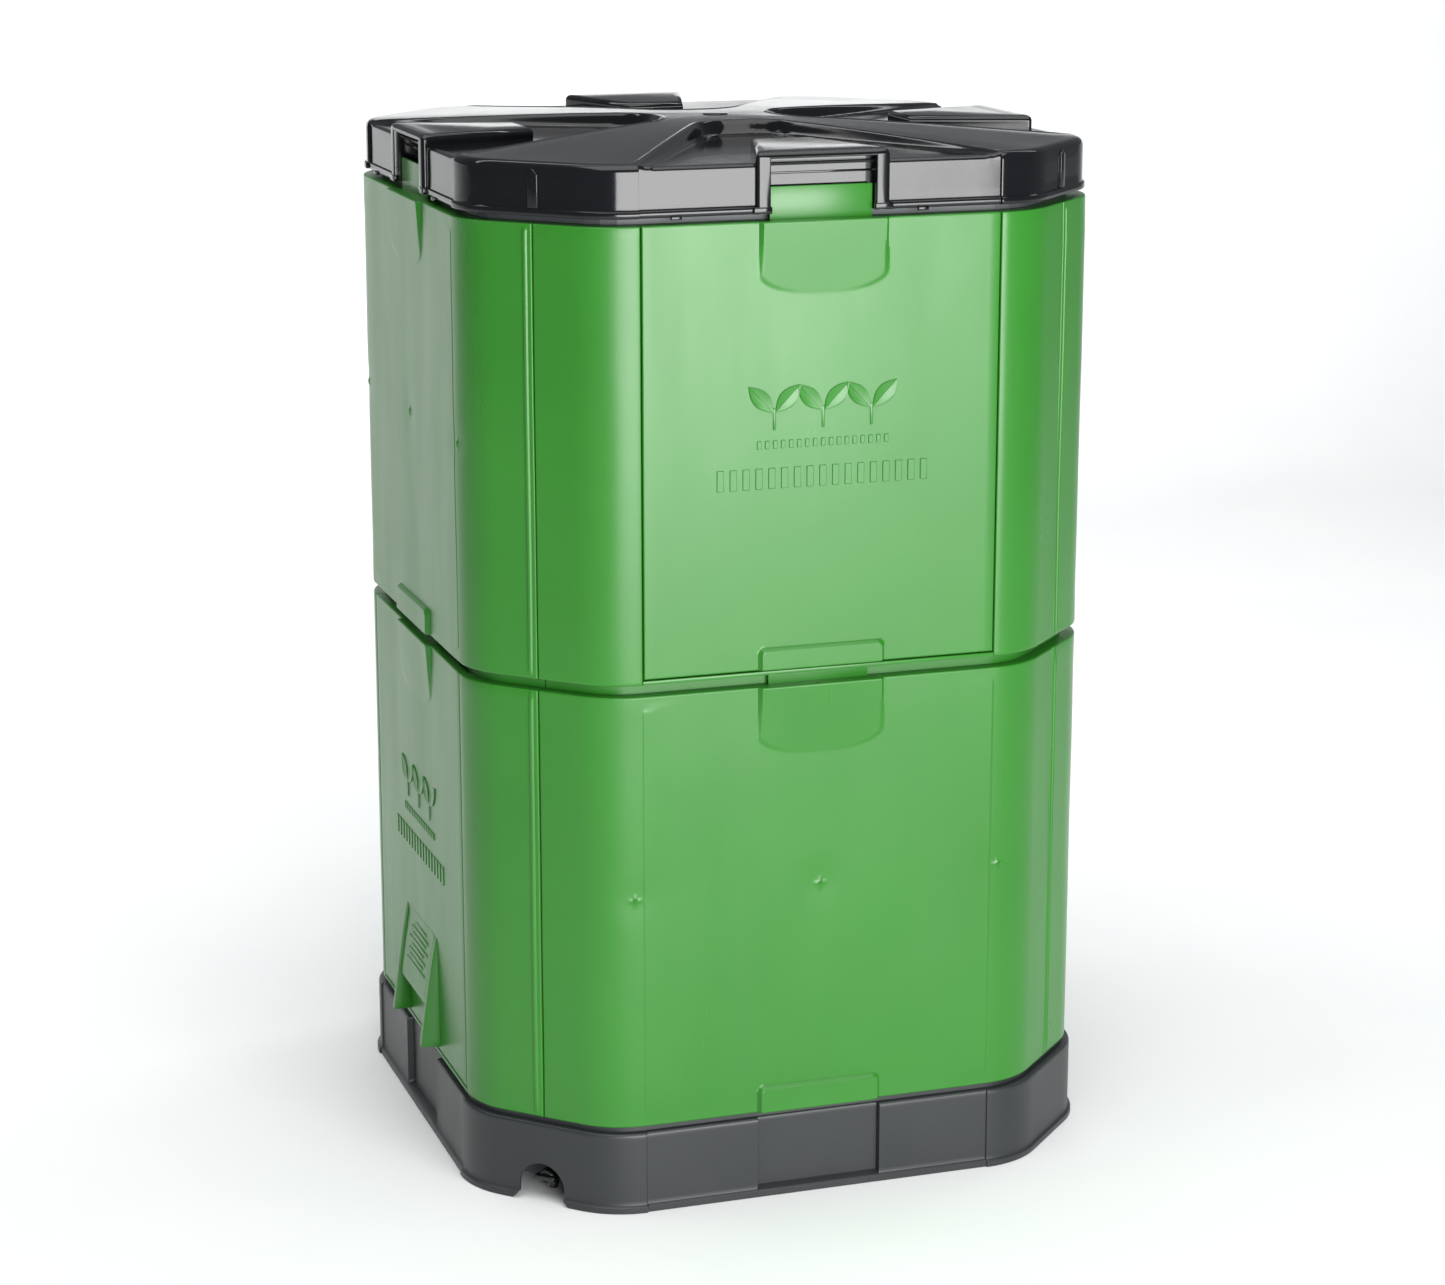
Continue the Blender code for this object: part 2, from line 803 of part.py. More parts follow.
def lid_form(grow):
    """The lid's outer form, or its hollow when it is grown inwards by the wall."""
    bottom = lid_bottom - (past if grow else 0)
    made = dome(lid_inset + lid_set_back + grow, bottom, skirt_top - grow, lid_top - grow)

    def valley():
        wide = flat_half + grow
        edge = -half_width - past
        tip = -valley_tip + grow
        near = valley_tip_half + grow
        outline = [(-wide, edge), (wide, edge), (near, tip), (-near, tip)]
        return prism(outline, skirt_top - valley_drop - grow, lid_top + past)

    cut(made, *on_each_side(valley))
    if not grow:
        skirt = prism(ring(lid_inset, lid_set_back), bottom, skirt_top - valley_drop)
        lip = prism(ring(lip_inset, lid_set_back), bottom, bottom + lid_lip_height)
        add(made, skirt, lip)

    def housing():
        front = lip_inset + grow - half_width
        back = front + housing_tail - grow
        wide = housing_half - grow
        tail = housing_tail_half - grow
        outline = [(-wide, front), (wide, front), (tail, back), (-tail, back)]
        return prism(outline, bottom, skirt_top + housing_rise - grow)

    add(made, *on_each_side(housing))
    return made


def lid_outer():
    made = lid_form(0)
    hollow = lid_form(lid_wall)

    def notch_wall():
        wide = notch_half + lid_wall
        z = (lid_bottom - 2 * past, lid_bottom + notch_top + lid_wall)
        return front_box(wide, (-past, notch_depth + lid_wall), z)

    cut(hollow, *on_each_side(notch_wall))
    cut(made, hollow)

    def notch():
        z = (lid_bottom - past, lid_bottom + notch_top)
        return front_box(notch_half, (-past, notch_depth), z)

    cut(made, *on_each_side(notch))
    finish("lid_outer", made, black, 0.25)


def lid_inside():
    rest = upper_top + fit_gap
    plate_top = rest + liner_height
    liner = prism(ring(liner_inset), rest, plate_top)
    cut(liner, prism(ring(liner_inset + lid_wall), rest - past, plate_top - lid_wall))
    inside = wall_depth + plug_inset
    plug = prism(ring(inside), upper_top - plug_drop, plate_top - lid_wall / 2)
    low = upper_top - plug_drop - past
    cut(plug, prism(ring(inside + lid_wall), low, plate_top - lid_wall))
    add(liner, plug)
    finish("lid_liner", liner, black, 0.5)

    low = plate_top + fit_gap
    high = skirt_top - valley_drop - lid_wall - fit_gap
    core = prism(ring(liner_inset + lid_wall), low, high)
    finish("lid_insulation", core, foam, 0.9)


# ---- assembly ----

front, right, back, left = range(4)

base_shell()
sump_tray()
tap()
lung(drain_grate())

for name, side in (("front", front), ("back", back)):
    plain_panel(
        name + "_lower", side, lower_bottom, lower_top, tier_tongue_height, False, False, False
    )
    frame_panel(name + "_upper_frame", side, upper_bottom, upper_top, False, True)
    door_panel(name + "_hatch", side, upper_bottom, upper_top, lid_tongue_height, True)

for name, side, sign in (("left", left, -1), ("right", right, 1)):
    pivot = (sign * (half_width - tongue_set_back), 0, hinge_z)
    plain_panel(
        name + "_upper", side, upper_bottom, upper_top, lid_tongue_height, True, True, True
    )
    frame_panel(name + "_lower_frame", side, lower_bottom, lower_top, True, False)
    door_panel(
        name + "_door", side, lower_bottom, lower_top, tier_tongue_height, False, pivot, True
    )

lid_inside()
lid_outer()
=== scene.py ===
import json
import math

import bmesh
import bpy
from mathutils import Matrix, Vector, noise


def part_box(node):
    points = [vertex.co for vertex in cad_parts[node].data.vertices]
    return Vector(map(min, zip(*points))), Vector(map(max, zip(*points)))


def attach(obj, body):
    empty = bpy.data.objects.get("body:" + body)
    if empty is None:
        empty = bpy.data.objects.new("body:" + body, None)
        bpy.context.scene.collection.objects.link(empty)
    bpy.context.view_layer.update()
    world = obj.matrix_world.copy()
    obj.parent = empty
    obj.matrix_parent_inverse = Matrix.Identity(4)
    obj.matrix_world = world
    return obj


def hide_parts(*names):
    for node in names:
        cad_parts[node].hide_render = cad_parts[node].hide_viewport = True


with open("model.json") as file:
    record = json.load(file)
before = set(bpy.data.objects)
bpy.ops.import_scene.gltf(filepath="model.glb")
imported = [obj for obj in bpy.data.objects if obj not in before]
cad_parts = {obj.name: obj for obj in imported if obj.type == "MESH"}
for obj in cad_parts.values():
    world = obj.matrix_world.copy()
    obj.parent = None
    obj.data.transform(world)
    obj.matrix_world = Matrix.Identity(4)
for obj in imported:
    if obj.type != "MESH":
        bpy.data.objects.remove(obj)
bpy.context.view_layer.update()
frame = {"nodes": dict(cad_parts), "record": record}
print("frame loaded:", len(frame["nodes"]), "CAD nodes")

sides = {"front": 0, "right": 1, "back": 2, "left": 3}  # quarter turns from the front

# Plan of the walls, shared by everything that follows them.
# The sizes in metres are read off the frame where it has them.
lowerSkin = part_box("front_lower_inner_skin")
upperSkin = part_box("left_upper_inner_skin")
skinInset = 0.0028  # the inner skin ends this far inside the panel's edges
seamGap = 0.00053  # half the gap at a corner seam, along X
wall = {
    "face": -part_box("front_upper_frame_outer")[0].y,
    "seam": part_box("front_lower_outer_skin")[1].x + seamGap,
    "flat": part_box("front_hatch_outer")[1].x + 0.0015,
    "depth": 0.038,
    "skin": 0.0025,
}
wall["bend"] = (2 * wall["seam"] - wall["flat"] - wall["face"]) / (math.sqrt(2) - 1)
tiers = {
    "lower": (lowerSkin[0].z - skinInset, lowerSkin[1].z + skinInset),
    "upper": (upperSkin[0].z - skinInset, upperSkin[1].z + skinInset),
}
diagonal = math.sqrt(0.5)
bendArc = wall["bend"] * math.pi / 4
bendEnd = wall["flat"] + wall["bend"] * diagonal
halfRun = wall["flat"] + bendArc + (wall["seam"] - bendEnd) / diagonal


def wallPoint(along):
    # The place and outward direction on the front wall, by distance from its middle.
    way = math.copysign(1, along)
    reach = abs(along)
    if reach <= wall["flat"]:
        spot, out = (reach, -wall["face"]), (0, -1)
    elif reach <= wall["flat"] + bendArc:
        turn = (reach - wall["flat"]) / wall["bend"]
        out = (math.sin(turn), -math.cos(turn))
        middle = (wall["flat"], wall["bend"] - wall["face"])
        spot = (middle[0] + out[0] * wall["bend"], middle[1] + out[1] * wall["bend"])
    else:
        rest = (reach - wall["flat"] - bendArc) * diagonal
        spot = (bendEnd + rest, wall["bend"] * (1 - diagonal) - wall["face"] + rest)
        out = (diagonal, -diagonal)
    return Vector((way * spot[0], spot[1], 0)), Vector((way * out[0], out[1], 0))


def ramp(value, start, end):
    # Eases from 0 at start to 1 at end.
    share = min(1, max(0, (value - start) / (end - start)))
    return share * share * (3 - 2 * share)


def gridLines(low, high, coarse, fine=()):
    # Positions from low to high at the coarse pitch, and closer inside each fine span.
    lines = []
    spans = []
    here = low
    for start, end, pitch in sorted(fine):
        start, end = max(start, low), min(end, high)
        if start > here:
            spans.append((here, start, coarse))
        spans.append((max(start, here), end, pitch))
        here = end
    if here < high:
        spans.append((here, high, coarse))
    for start, end, pitch in spans:
        count = max(1, math.ceil((end - start) / pitch - 0.01))
        lines += [start + (end - start) * i / count for i in range(count)]
    return lines + [high]


def sheet(columns, rows, place):
    # A grid of columns by rows, each point put where place(column, row) says.
    work = bmesh.new()
    across, up = len(columns) - 1, len(rows) - 1
    bmesh.ops.create_grid(work, x_segments=across, y_segments=up, size=0.5)
    for vert in work.verts:
        column = columns[round((vert.co.x + 0.5) * across)]
        row = rows[round((vert.co.y + 0.5) * up)]
        vert.co = place(column, row)
    return work


def merged(target, *others):
    # Adds other bmeshes to the first one.
    for other in others:
        mesh = bpy.data.meshes.new("part")
        other.to_mesh(mesh)
        other.free()
        target.from_mesh(mesh)
        bpy.data.meshes.remove(mesh)
    return target


def faceOut(work):
    bmesh.ops.recalc_face_normals(work, faces=work.faces)
    return work


def newVerts(grown):
    # The vertices that an extrusion has added.
    return [g for g in grown["geom"] if isinstance(g, bmesh.types.BMVert)]


def cut(work, spot, way, near=0.0):
    # Cuts every face on the plane through a spot.
    geom = list(work.verts) + list(work.edges) + list(work.faces)
    bmesh.ops.bisect_plane(work, geom=geom, plane_co=spot, plane_no=way, dist=near)


def sharpEdges(work, angle):
    return [edge for edge in work.edges if edge.calc_face_angle(0) > angle]


def block(low, high, rounding=0.0, steps=2):
    # A box between two corners with rounded edges.
    work = bmesh.new()
    bmesh.ops.create_cube(work, size=1)
    low, high = Vector(low), Vector(high)
    size = high - low
    bmesh.ops.transform(
        work,
        matrix=Matrix.Translation((low + high) / 2) @ Matrix.Diagonal((*size, 1)),
        verts=work.verts,
    )
    if rounding:
        softened(work, list(work.edges), rounding, steps)
    return work


def softened(work, edges, width, steps):
    bmesh.ops.bevel(
        work,
        geom=edges,
        offset=width,
        offset_type="OFFSET",
        segments=steps,
        profile=0.5,
        affect="EDGES",
        material=-1,
        clamp_overlap=True,
    )
    return work


def turnedTo(work, side):
    bmesh.ops.rotate(
        work,
        verts=work.verts,
        cent=(0, 0, 0),
        matrix=Matrix.Rotation(sides[side] * math.pi / 2, 3, "Z"),
    )
    return work


def makePiece(name, work, material, body, nodes, crease=40):
    # Ends a piece: smooth faces, sharp creases, its plastic, and the CAD nodes it stands for.
    mesh = bpy.data.meshes.new(name)
    work.to_mesh(mesh)
    work.free()
    mesh.shade_smooth()
    mesh.set_sharp_from_angle(angle=math.radians(crease))
    mesh.materials.append(material)
    piece = bpy.data.objects.new(name, mesh)
    bpy.context.scene.collection.objects.link(piece)
    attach(piece, body)
    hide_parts(*nodes)
    return piece


# Materials

def colour(code):
    channels = [int(code[i : i + 2], 16) / 255 for i in (1, 3, 5)]
    linear = [c / 12.92 if c <= 0.04045 else ((c + 0.055) / 1.055) ** 2.4 for c in channels]
    return (*linear, 1)


def addNode(tree, kind, settings=None, links=None):
    node = tree.nodes.new(kind)
    for name, value in (settings or {}).items():
        if name in node.inputs:
            node.inputs[name].default_value = value
        else:
            setattr(node, name, value)
    for name, socket in (links or {}).items():
        tree.links.new(socket, node.inputs[name])
    return node


# Shared by every plastic: how a scuff fades in, tints and dulls, and how strong the bow is.
scuffing = {"fade": 0.12, "tint": 0.35, "dull": 0.5}
bowStrength = 0.5


def plastic(name, look):
    # Moulded plastic: a mottled colour, a tool grain, flow lines and light scuffs.
    # Mottle, scuff, grain, relief and bow are sizes in metres. Real tool grain is about 0.1 mm
    # and is drawn at 0.6 to 2.2 mm, as fine as still shows.
    material = bpy.data.materials.new(name)
    material.use_nodes = True
    tree = material.node_tree
    shader = tree.nodes["Principled BSDF"]
    shader.inputs["IOR"].default_value = look["ior"]
    shader.inputs["Metallic"].default_value = 0.0
    where = addNode(tree, "ShaderNodeTexCoord").outputs["Object"]
    mottle = addNode(
        tree,
        "ShaderNodeTexNoise",
        {"Scale": 1 / look["mottle"], "Detail": 3.0, "Roughness": 0.55},
        {"Vector": where},
    )
    blend = addNode(
        tree,
        "ShaderNodeMix",
        {"data_type": "RGBA"},
        {"Factor": mottle.outputs["Fac"]},
    )
    blend.inputs[6].default_value = colour(look["dark"])
    blend.inputs[7].default_value = colour(look["light"])
    stretch = addNode(
        tree, "ShaderNodeMapping", {"Scale": look["streak"]}, {"Vector": where}
    )
    flow = addNode(
        tree,
        "ShaderNodeTexNoise",
        {"Scale": 1.0, "Detail": 4.0, "Roughness": 0.6},
        {"Vector": stretch.outputs["Vector"]},
    )
    gloss = addNode(
        tree,
        "ShaderNodeMapRange",
        {
            "From Min": 0.3,
            "From Max": 0.7,
            "To Min": look["roughness"][0],
            "To Max": look["roughness"][1],
        },
        {"Value": flow.outputs["Fac"]},
    )
    scuffs = addNode(
        tree,
        "ShaderNodeTexNoise",
        {"Scale": 1 / look["scuff"], "Detail": 8.0, "Roughness": 0.75, "Distortion": 1.5},
        {"Vector": where},
    )
    worn = addNode(
        tree,
        "ShaderNodeMapRange",
        {
            "From Min": look["wear"],
            "From Max": look["wear"] + scuffing["fade"],
            "To Max": scuffing["tint"],
        },
        {"Value": scuffs.outputs["Fac"]},
    )
    finish = addNode(
        tree,
        "ShaderNodeMix",
        {"data_type": "RGBA"},
        {"Factor": worn.outputs["Result"]},
    )
    tree.links.new(blend.outputs[2], finish.inputs[6])
    finish.inputs[7].default_value = colour(look["scuffed"])
    tree.links.new(finish.outputs[2], shader.inputs["Base Color"])
    rough = addNode(
        tree,
        "ShaderNodeMath",
        {"operation": "MULTIPLY_ADD", "use_clamp": True},
    )
    tree.links.new(worn.outputs["Result"], rough.inputs[0])
    rough.inputs[1].default_value = scuffing["dull"]
    tree.links.new(gloss.outputs["Result"], rough.inputs[2])
    tree.links.new(rough.outputs["Value"], shader.inputs["Roughness"])
    grain = addNode(
        tree,
        "ShaderNodeTexNoise",
        {"Scale": 1 / look["grain"], "Detail": 2.0, "Roughness": 0.6},
        {"Vector": where},
    )
    tooth = addNode(
        tree,
        "ShaderNodeBump",
        {"Strength": look["tooth"], "Distance": look["relief"]},
        {"Height": grain.outputs["Fac"]},
    )
    bow = addNode(
        tree,
        "ShaderNodeBump",
        {"Strength": bowStrength, "Distance": look["bow"]},
        {"Height": mottle.outputs["Fac"], "Normal": tooth.outputs["Normal"]},
    )
    tree.links.new(bow.outputs["Normal"], shader.inputs["Normal"])
    return material


# Injection-moulded polypropylene, dyed green through and tool-polished to a satin:
# the eye gets a soft wide highlight, faint vertical flow lines and a slight orange peel.
greenPolypropylene = plastic(
    "greenPolypropylene",
    {
        "dark": "#246B1A", "light": "#2D7722", "scuffed": "#7FB77A", "ior": 1.49,
        "mottle": 0.22, "streak": (14.0, 14.0, 2.2), "roughness": (0.27, 0.34),
        "scuff": 0.035, "wear": 0.70, "grain": 0.0022, "tooth": 0.25, "relief": 0.00012,
        "bow": 0.0006,
    },
)
# The same plastic, unpolished, on the inside skins: duller and darker.
greenInnerPolypropylene = plastic(
    "greenInnerPolypropylene",
    {
        "dark": "#2B6726", "light": "#35752F", "scuffed": "#6F9E69", "ior": 1.49,
        "mottle": 0.15, "streak": (10.0, 10.0, 3.0), "roughness": (0.45, 0.58),
        "scuff": 0.03, "wear": 0.66, "grain": 0.0018, "tooth": 0.4, "relief": 0.00015,
        "bow": 0.0004,
    },
)
# Black polypropylene from a polished tool: deep, with clear reflections.
glossBlackPolypropylene = plastic(
    "glossBlackPolypropylene",
    {
        "dark": "#090A0C", "light": "#111215", "scuffed": "#5A5E64", "ior": 1.46,
        "mottle": 0.12, "streak": (9.0, 9.0, 3.0), "roughness": (0.08, 0.14), "scuff": 0.03,
        "wear": 0.68, "grain": 0.0016, "tooth": 0.15, "relief": 0.00008, "bow": 0.0005,
    },
)
# Black recycled polyethylene, for the base: greyer, with a satin face and more scuffs.
satinBlackPolyethylene = plastic(
    "satinBlackPolyethylene",
    {
        "dark": "#1C1F21", "light": "#272A2C", "scuffed": "#8A8E90", "ior": 1.51,
        "mottle": 0.10, "streak": (8.0, 8.0, 3.0), "roughness": (0.36, 0.46),
        "scuff": 0.028, "wear": 0.66, "grain": 0.0018, "tooth": 0.3, "relief": 0.00012,
        "bow": 0.0005,
    },
)
# Dark grey polypropylene, as moulded, for the pieces inside.
greyPolypropylene = plastic(
    "greyPolypropylene",
    {
        "dark": "#4A4D50", "light": "#585B5E", "scuffed": "#8F9294", "ior": 1.49,
        "mottle": 0.08, "streak": (10.0, 10.0, 3.0), "roughness": (0.42, 0.52),
        "scuff": 0.025, "wear": 0.66, "grain": 0.0015, "tooth": 0.35, "relief": 0.00012,
        "bow": 0.0003,
    },
)
# Glass-filled nylon of the tap: jet black, slightly shiny, with a fine dry grain.
blackNylon = plastic(
    "blackNylon",
    {
        "dark": "#08090A", "light": "#101112", "scuffed": "#4A4C4E", "ior": 1.53,
        "mottle": 0.02, "streak": (30.0, 30.0, 30.0), "roughness": (0.22, 0.32),
        "scuff": 0.01, "wear": 0.68, "grain": 0.0008, "tooth": 0.3, "relief": 0.00006,
        "bow": 0.0001,
    },
)
# Rigid polyurethane foam: pale, dry and finely pitted.
polyurethaneFoam = plastic(
    "polyurethaneFoam",
    {
        "dark": "#DCCFA6", "light": "#EFE6C6", "scuffed": "#C9B98A", "ior": 1.40,
        "mottle": 0.04, "streak": (20.0, 20.0, 20.0), "roughness": (0.85, 0.95),
        "scuff": 0.02, "wear": 0.62, "grain": 0.0012, "tooth": 0.9, "relief": 0.0005,
        "bow": 0.0004,
    },
)
# Nitrile rubber of the washer: soft black with a dusty bloom.
nitrileRubber = plastic(
    "nitrileRubber",
    {
        "dark": "#141414", "light": "#1F1F1F", "scuffed": "#5A5A5A", "ior": 1.52,
        "mottle": 0.01, "streak": (30.0, 30.0, 30.0), "roughness": (0.65, 0.8),
        "scuff": 0.008, "wear": 0.6, "grain": 0.0006, "tooth": 0.5, "relief": 0.0001,
        "bow": 0.0001,
    },
)
print("materials ready")


# Wall panels

panel = {
    "return": 0.036,  # how deep the edges turn in
    "edge": 0.0016,  # rounding of the outline
    "wave": 0.0009,  # slow swelling of the moulding
    "leafWave": 0.0003,
    "fade": 0.05,  # the wave dies away over this much before an edge
    "step": 0.0005,  # the flat part stands this proud of the bends
    "bead": 0.0088,  # how far from the seam the corner bead runs
    "beadHalf": 0.0026,
    "beadProud": 0.0019,
    "beadFade": (0.003, 0.008),
    "ribBack": 0.017,
    "ribRise": 0.0122,
    "ribThick": 0.0028,
    "coarse": 0.014,  # spacing of the rows where nothing needs more
    "bendLines": (0.281, 0.006),  # the bend's closer columns: where they end, and spacing
}
panelReach = halfRun - 0.0007  # a panel stops this short of its seam
swell = {"half": 0.074, "proud": 0.0055, "height": 0.079, "straight": 0.056, "soft": 0.0038}
tab = {"half": 0.0735, "proud": 0.005, "height": 0.0315, "corner": 0.008, "soft": 0.0032}
tongue = {"half": 0.0585, "back": 0.010, "thick": 0.003, "lid": 0.036, "tier": 0.028}
gate = {
    "star": 0.0052,
    "starHigh": 0.0011,
    "dent": 0.021,
    "dentDeep": 0.0010,
    "places": (-0.216, 0.0, 0.216),
}
gateHeight = {"lower": 0.266, "upper": 0.249}


def swellRise(along, below):
    # A slope that is proudest at the top edge, with steep sides and a curved foot.
    if below > swell["height"] or abs(along) > swell["half"]:
        return 0.0
    slope = swell["proud"] * (1 - below / swell["height"])
    rest = max(0, below - swell["straight"]) / (swell["height"] - swell["straight"])
    foot = swell["half"] * math.sqrt(max(0, 1 - rest**2))
    return slope * ramp(foot - abs(along), 0, swell["soft"])


def tabRise(along, above):
    # A flat tab at the bottom edge with rounded top corners.
    over = max(0, abs(along) - (tab["half"] - tab["corner"]))
    up = max(0, above - (tab["height"] - tab["corner"]))
    inside = tab["corner"] - math.hypot(over, up)
    return tab["proud"] * ramp(inside, 0, tab["soft"])


def gateRelief(along, up):
    # The dent round an injection point, with a small four-pointed star in it.
    spread = math.hypot(along, up)
    if spread > 4 * gate["dent"]:
        return 0.0
    turn = math.atan2(up, along)
    dent = gate["dentDeep"] * math.exp(-((spread / gate["dent"]) ** 2))
    star = gate["starHigh"] * math.exp(-((spread / gate["star"]) ** 2))
    return dent - star * (1 + math.cos(4 * turn))


def wave(along, height, seed, size, edge):
    # The slow unevenness of a large moulding, which dies away towards its edges.
    spot = Vector((along * 5.0, height * 4.0, seed))
    uneven = size * noise.noise(spot) + size * 0.5 * noise.noise(spot * 2.3)
    return ramp(edge, 0.0, panel["fade"]) * uneven


def wallSheet(columns, rows, inward):
    # A surface that follows the walls, set in by inward(along, height).
    def place(along, height):
        spot, out = wallPoint(along)
        return spot - out * inward(along, height) + Vector((0, 0, height))

    return sheet(columns, rows, place)


def nearestAlong(spot):
    # The distance along the wall of a point on or near it.
    way = math.copysign(1, spot.x)
    x, y = abs(spot.x), spot.y
    middle = (wall["flat"], wall["bend"] - wall["face"])
    if x <= wall["flat"]:
        return way * x
    turn = math.atan2(x - middle[0], middle[1] - y)
    if turn <= math.pi / 4:
        return way * (wall["flat"] + turn * wall["bend"])
    rest = ((x - bendEnd) + (y + wall["face"] - wall["bend"] * (1 - diagonal))) / 2
    return way * (wall["flat"] + bendArc + rest / diagonal)


def edgesTurnedIn(work, depth, edge, steps=3):
    # Turns the sheet's rim in by a depth below the wall face and rounds the outline.
    rim = [e for e in work.edges if e.is_boundary]
    grown = bmesh.ops.extrude_edge_only(work, edges=rim)
    for vert in newVerts(grown):
        spot, out = wallPoint(nearestAlong(vert.co))
        vert.co = spot - out * depth + Vector((0, 0, vert.co.z))
    faceOut(work)
    softened(work, rim, edge, steps)
    return work


def thickened(work, thickness):
    # Gives an open sheet its wall thickness, inwards.
    faceOut(work)
    bmesh.ops.solidify(work, geom=work.faces, thickness=thickness)
    return faceOut(work)


def ringOf(columns, rows, back):
    # A flat frame on the wall: a sheet of nine fields without its middle one.
    ring = wallSheet(columns, rows, lambda along, height: back)
    level = (rows[0] + rows[-1]) / 2
    middle = min(ring.faces, key=lambda face: abs(face.calc_center_median().x)
                 + abs(face.calc_center_median().z - level))
    bmesh.ops.delete(ring, geom=[middle], context="FACES")
    return ring


def tongueBlock(top, height):
    front = -wall["face"] + tongue["back"]
    low = (-tongue["half"], front, top - wall["skin"])
    high = (tongue["half"], front + tongue["thick"], top + height)
    return block(low, high, 0.0009, 2)


def ribSheet(top):
    # The rib on a lower panel that carries the tier above.
    columns = gridLines(-panelReach, panelReach, 0.012)
    rows = gridLines(top - 0.002, top + panel["ribRise"], 0.01)
    work = wallSheet(columns, rows, lambda along, height: panel["ribBack"])
    return thickened(work, panel["ribThick"])


def seamBead(along, edge):
    # A half-round bead beside the seam that dies away before the panel's edges.
    across = (abs(along) - (halfRun - panel["bead"])) / panel["beadHalf"]
    bulge = math.sqrt(max(0, 1 - across * across))
    return panel["beadProud"] * bulge * ramp(edge, *panel["beadFade"])


def seamLines():
    # Columns close enough together to shape the bead.
    near = panelReach - 0.0135
    beadEnd = halfRun - panel["bead"] + panel["beadHalf"] + 0.0004
    return [(near, beadEnd, 0.0007), (beadEnd, panelReach, 0.003)]


def bothWays(spans):
    # The same fine spans on the left of the middle too.
    return spans + [(-end, -start, pitch) for start, end, pitch in spans]


def plainPanel(side, tier, tongueHeight, bead, seed):
    # A whole panel from seam to seam, with its swell, tab, gate marks and tongue.
    bottom, top = tiers[tier]
    middle = bottom + gateHeight[tier]
    wide, near = swell["half"] + 0.004, 0.012
    star = gate["places"][-1]
    spans = [(star - near, star + near, 0.002), (star + near, *panel["bendLines"])]
    fineAlong = [(-wide, wide, 0.002)] + bothWays(spans + seamLines())
    columns = gridLines(-panelReach, panelReach, 0.012, fineAlong)
    step = 0.0005  # a column on either side of where the flat ends
    columns += [way * wall["flat"] + off for way in (-1, 1) for off in (-step, step)]
    columns = sorted(columns)
    fineUp = [
        (bottom, bottom + tab["height"] + 0.002, 0.002),
        (middle - 0.012, middle + 0.012, 0.002),
        (top - swell["height"] - 0.002, top, 0.002),
    ]
    rows = gridLines(bottom, top, panel["coarse"], fineUp)

    def inward(along, height):
        edge = min(height - bottom, top - height)
        rise = swellRise(along, top - height) + tabRise(along, height - bottom)
        blend = 0.001 + 0.04 * (1 - ramp(edge, 0.004, 0.018))
        rise += panel["step"] * ramp(wall["flat"] + 0.0005 - abs(along), 0, blend)
        for spot in gate["places"]:
            rise -= gateRelief(along - spot, height - middle)
        if bead:
            rise += seamBead(along, edge)
        return wave(along, height, seed, panel["wave"], edge) - rise

    work = wallSheet(columns, rows, inward)
    edgesTurnedIn(work, panel["return"], panel["edge"])
    thickened(work, wall["skin"])
    merged(work, tongueBlock(top, tongueHeight))
    if tier == "lower":
        merged(work, ribSheet(top))
    turnedTo(work, side)
    return makePiece(
        f"{side}{tier.capitalize()}Wall",
        work,
        greenPolypropylene,
        "root",
        [f"{side}_{tier}_outer_skin"],
    )


for side, tier, rise, bead, seed in (
    ("front", "lower", tongue["tier"], False, 1.3),
    ("back", "lower", tongue["tier"], False, 7.7),
    ("left", "upper", tongue["lid"], True, 3.1),
    ("right", "upper", tongue["lid"], True, 9.4),
):
    plainPanel(side, tier, rise, bead, seed)
print("plain panels ready")


# Door and hatch frames

opening = {
    "rebate": 0.014,
    "gap": 0.0015,
    "sill": 0.0045,
    "stile": 0.023,
    "bar": 0.022,
    "plugRoom": 0.003,
    "bendLines": (0.215, 0.285, 0.006),  # the bend's closer columns: from, to, spacing
}


def framePanel(side, tier, bead, seed):
    # A panel's two outer strips, joined by a sunk ring that takes a door or a hatch.
    bottom, top = tiers[tier]
    rows = gridLines(bottom, top, panel["coarse"], [(bottom, bottom + 0.004, 0.004)])

    def inward(along, height):
        end = min(height - bottom, top - height)
        rise = seamBead(along, end) if bead else 0.0
        edge = min(end, abs(along) - wall["flat"])
        return wave(along, height, seed, panel["wave"], edge) - rise

    strips = []
    for way in (-1, 1):
        ends = sorted((way * wall["flat"], way * panelReach))
        fine = bothWays([opening["bendLines"]] + seamLines())
        fine = [span for span in fine if span[0] * way > 0]
        strip = wallSheet(gridLines(*ends, 0.010, fine), rows, inward)
        edgesTurnedIn(strip, panel["return"], panel["edge"])
        strips.append(thickened(strip, wall["skin"]))
    work = merged(*strips)

    flat, hole = wall["flat"], wall["flat"] - opening["stile"]
    rows = [bottom, bottom + opening["bar"], top - opening["bar"], top]
    ring = ringOf([-flat, -hole, hole, flat], rows, opening["rebate"])
    edgesTurnedIn(ring, panel["return"], 0.001, 2)
    merged(work, thickened(ring, wall["skin"]))
    front = -wall["face"]
    sill = block(
        (-flat, front, bottom), (flat, front + opening["rebate"], bottom + opening["sill"]), 0.001
    )
    merged(work, sill)
    if tier == "lower":
        merged(work, ribSheet(top))
    turnedTo(work, side)
    return makePiece(
        f"{side}{tier.capitalize()}Frame",
        work,
        greenPolypropylene,
        "root",
        [f"{side}_{tier}_frame_outer"],
    )


for side, tier, bead, seed in (
    ("front", "upper", False, 2.2),
    ("back", "upper", False, 5.9),
    ("left", "lower", True, 4.4),
    ("right", "lower", True, 8.8),
):
    framePanel(side, tier, bead, seed)
print("frames ready")


# Doors and hatches

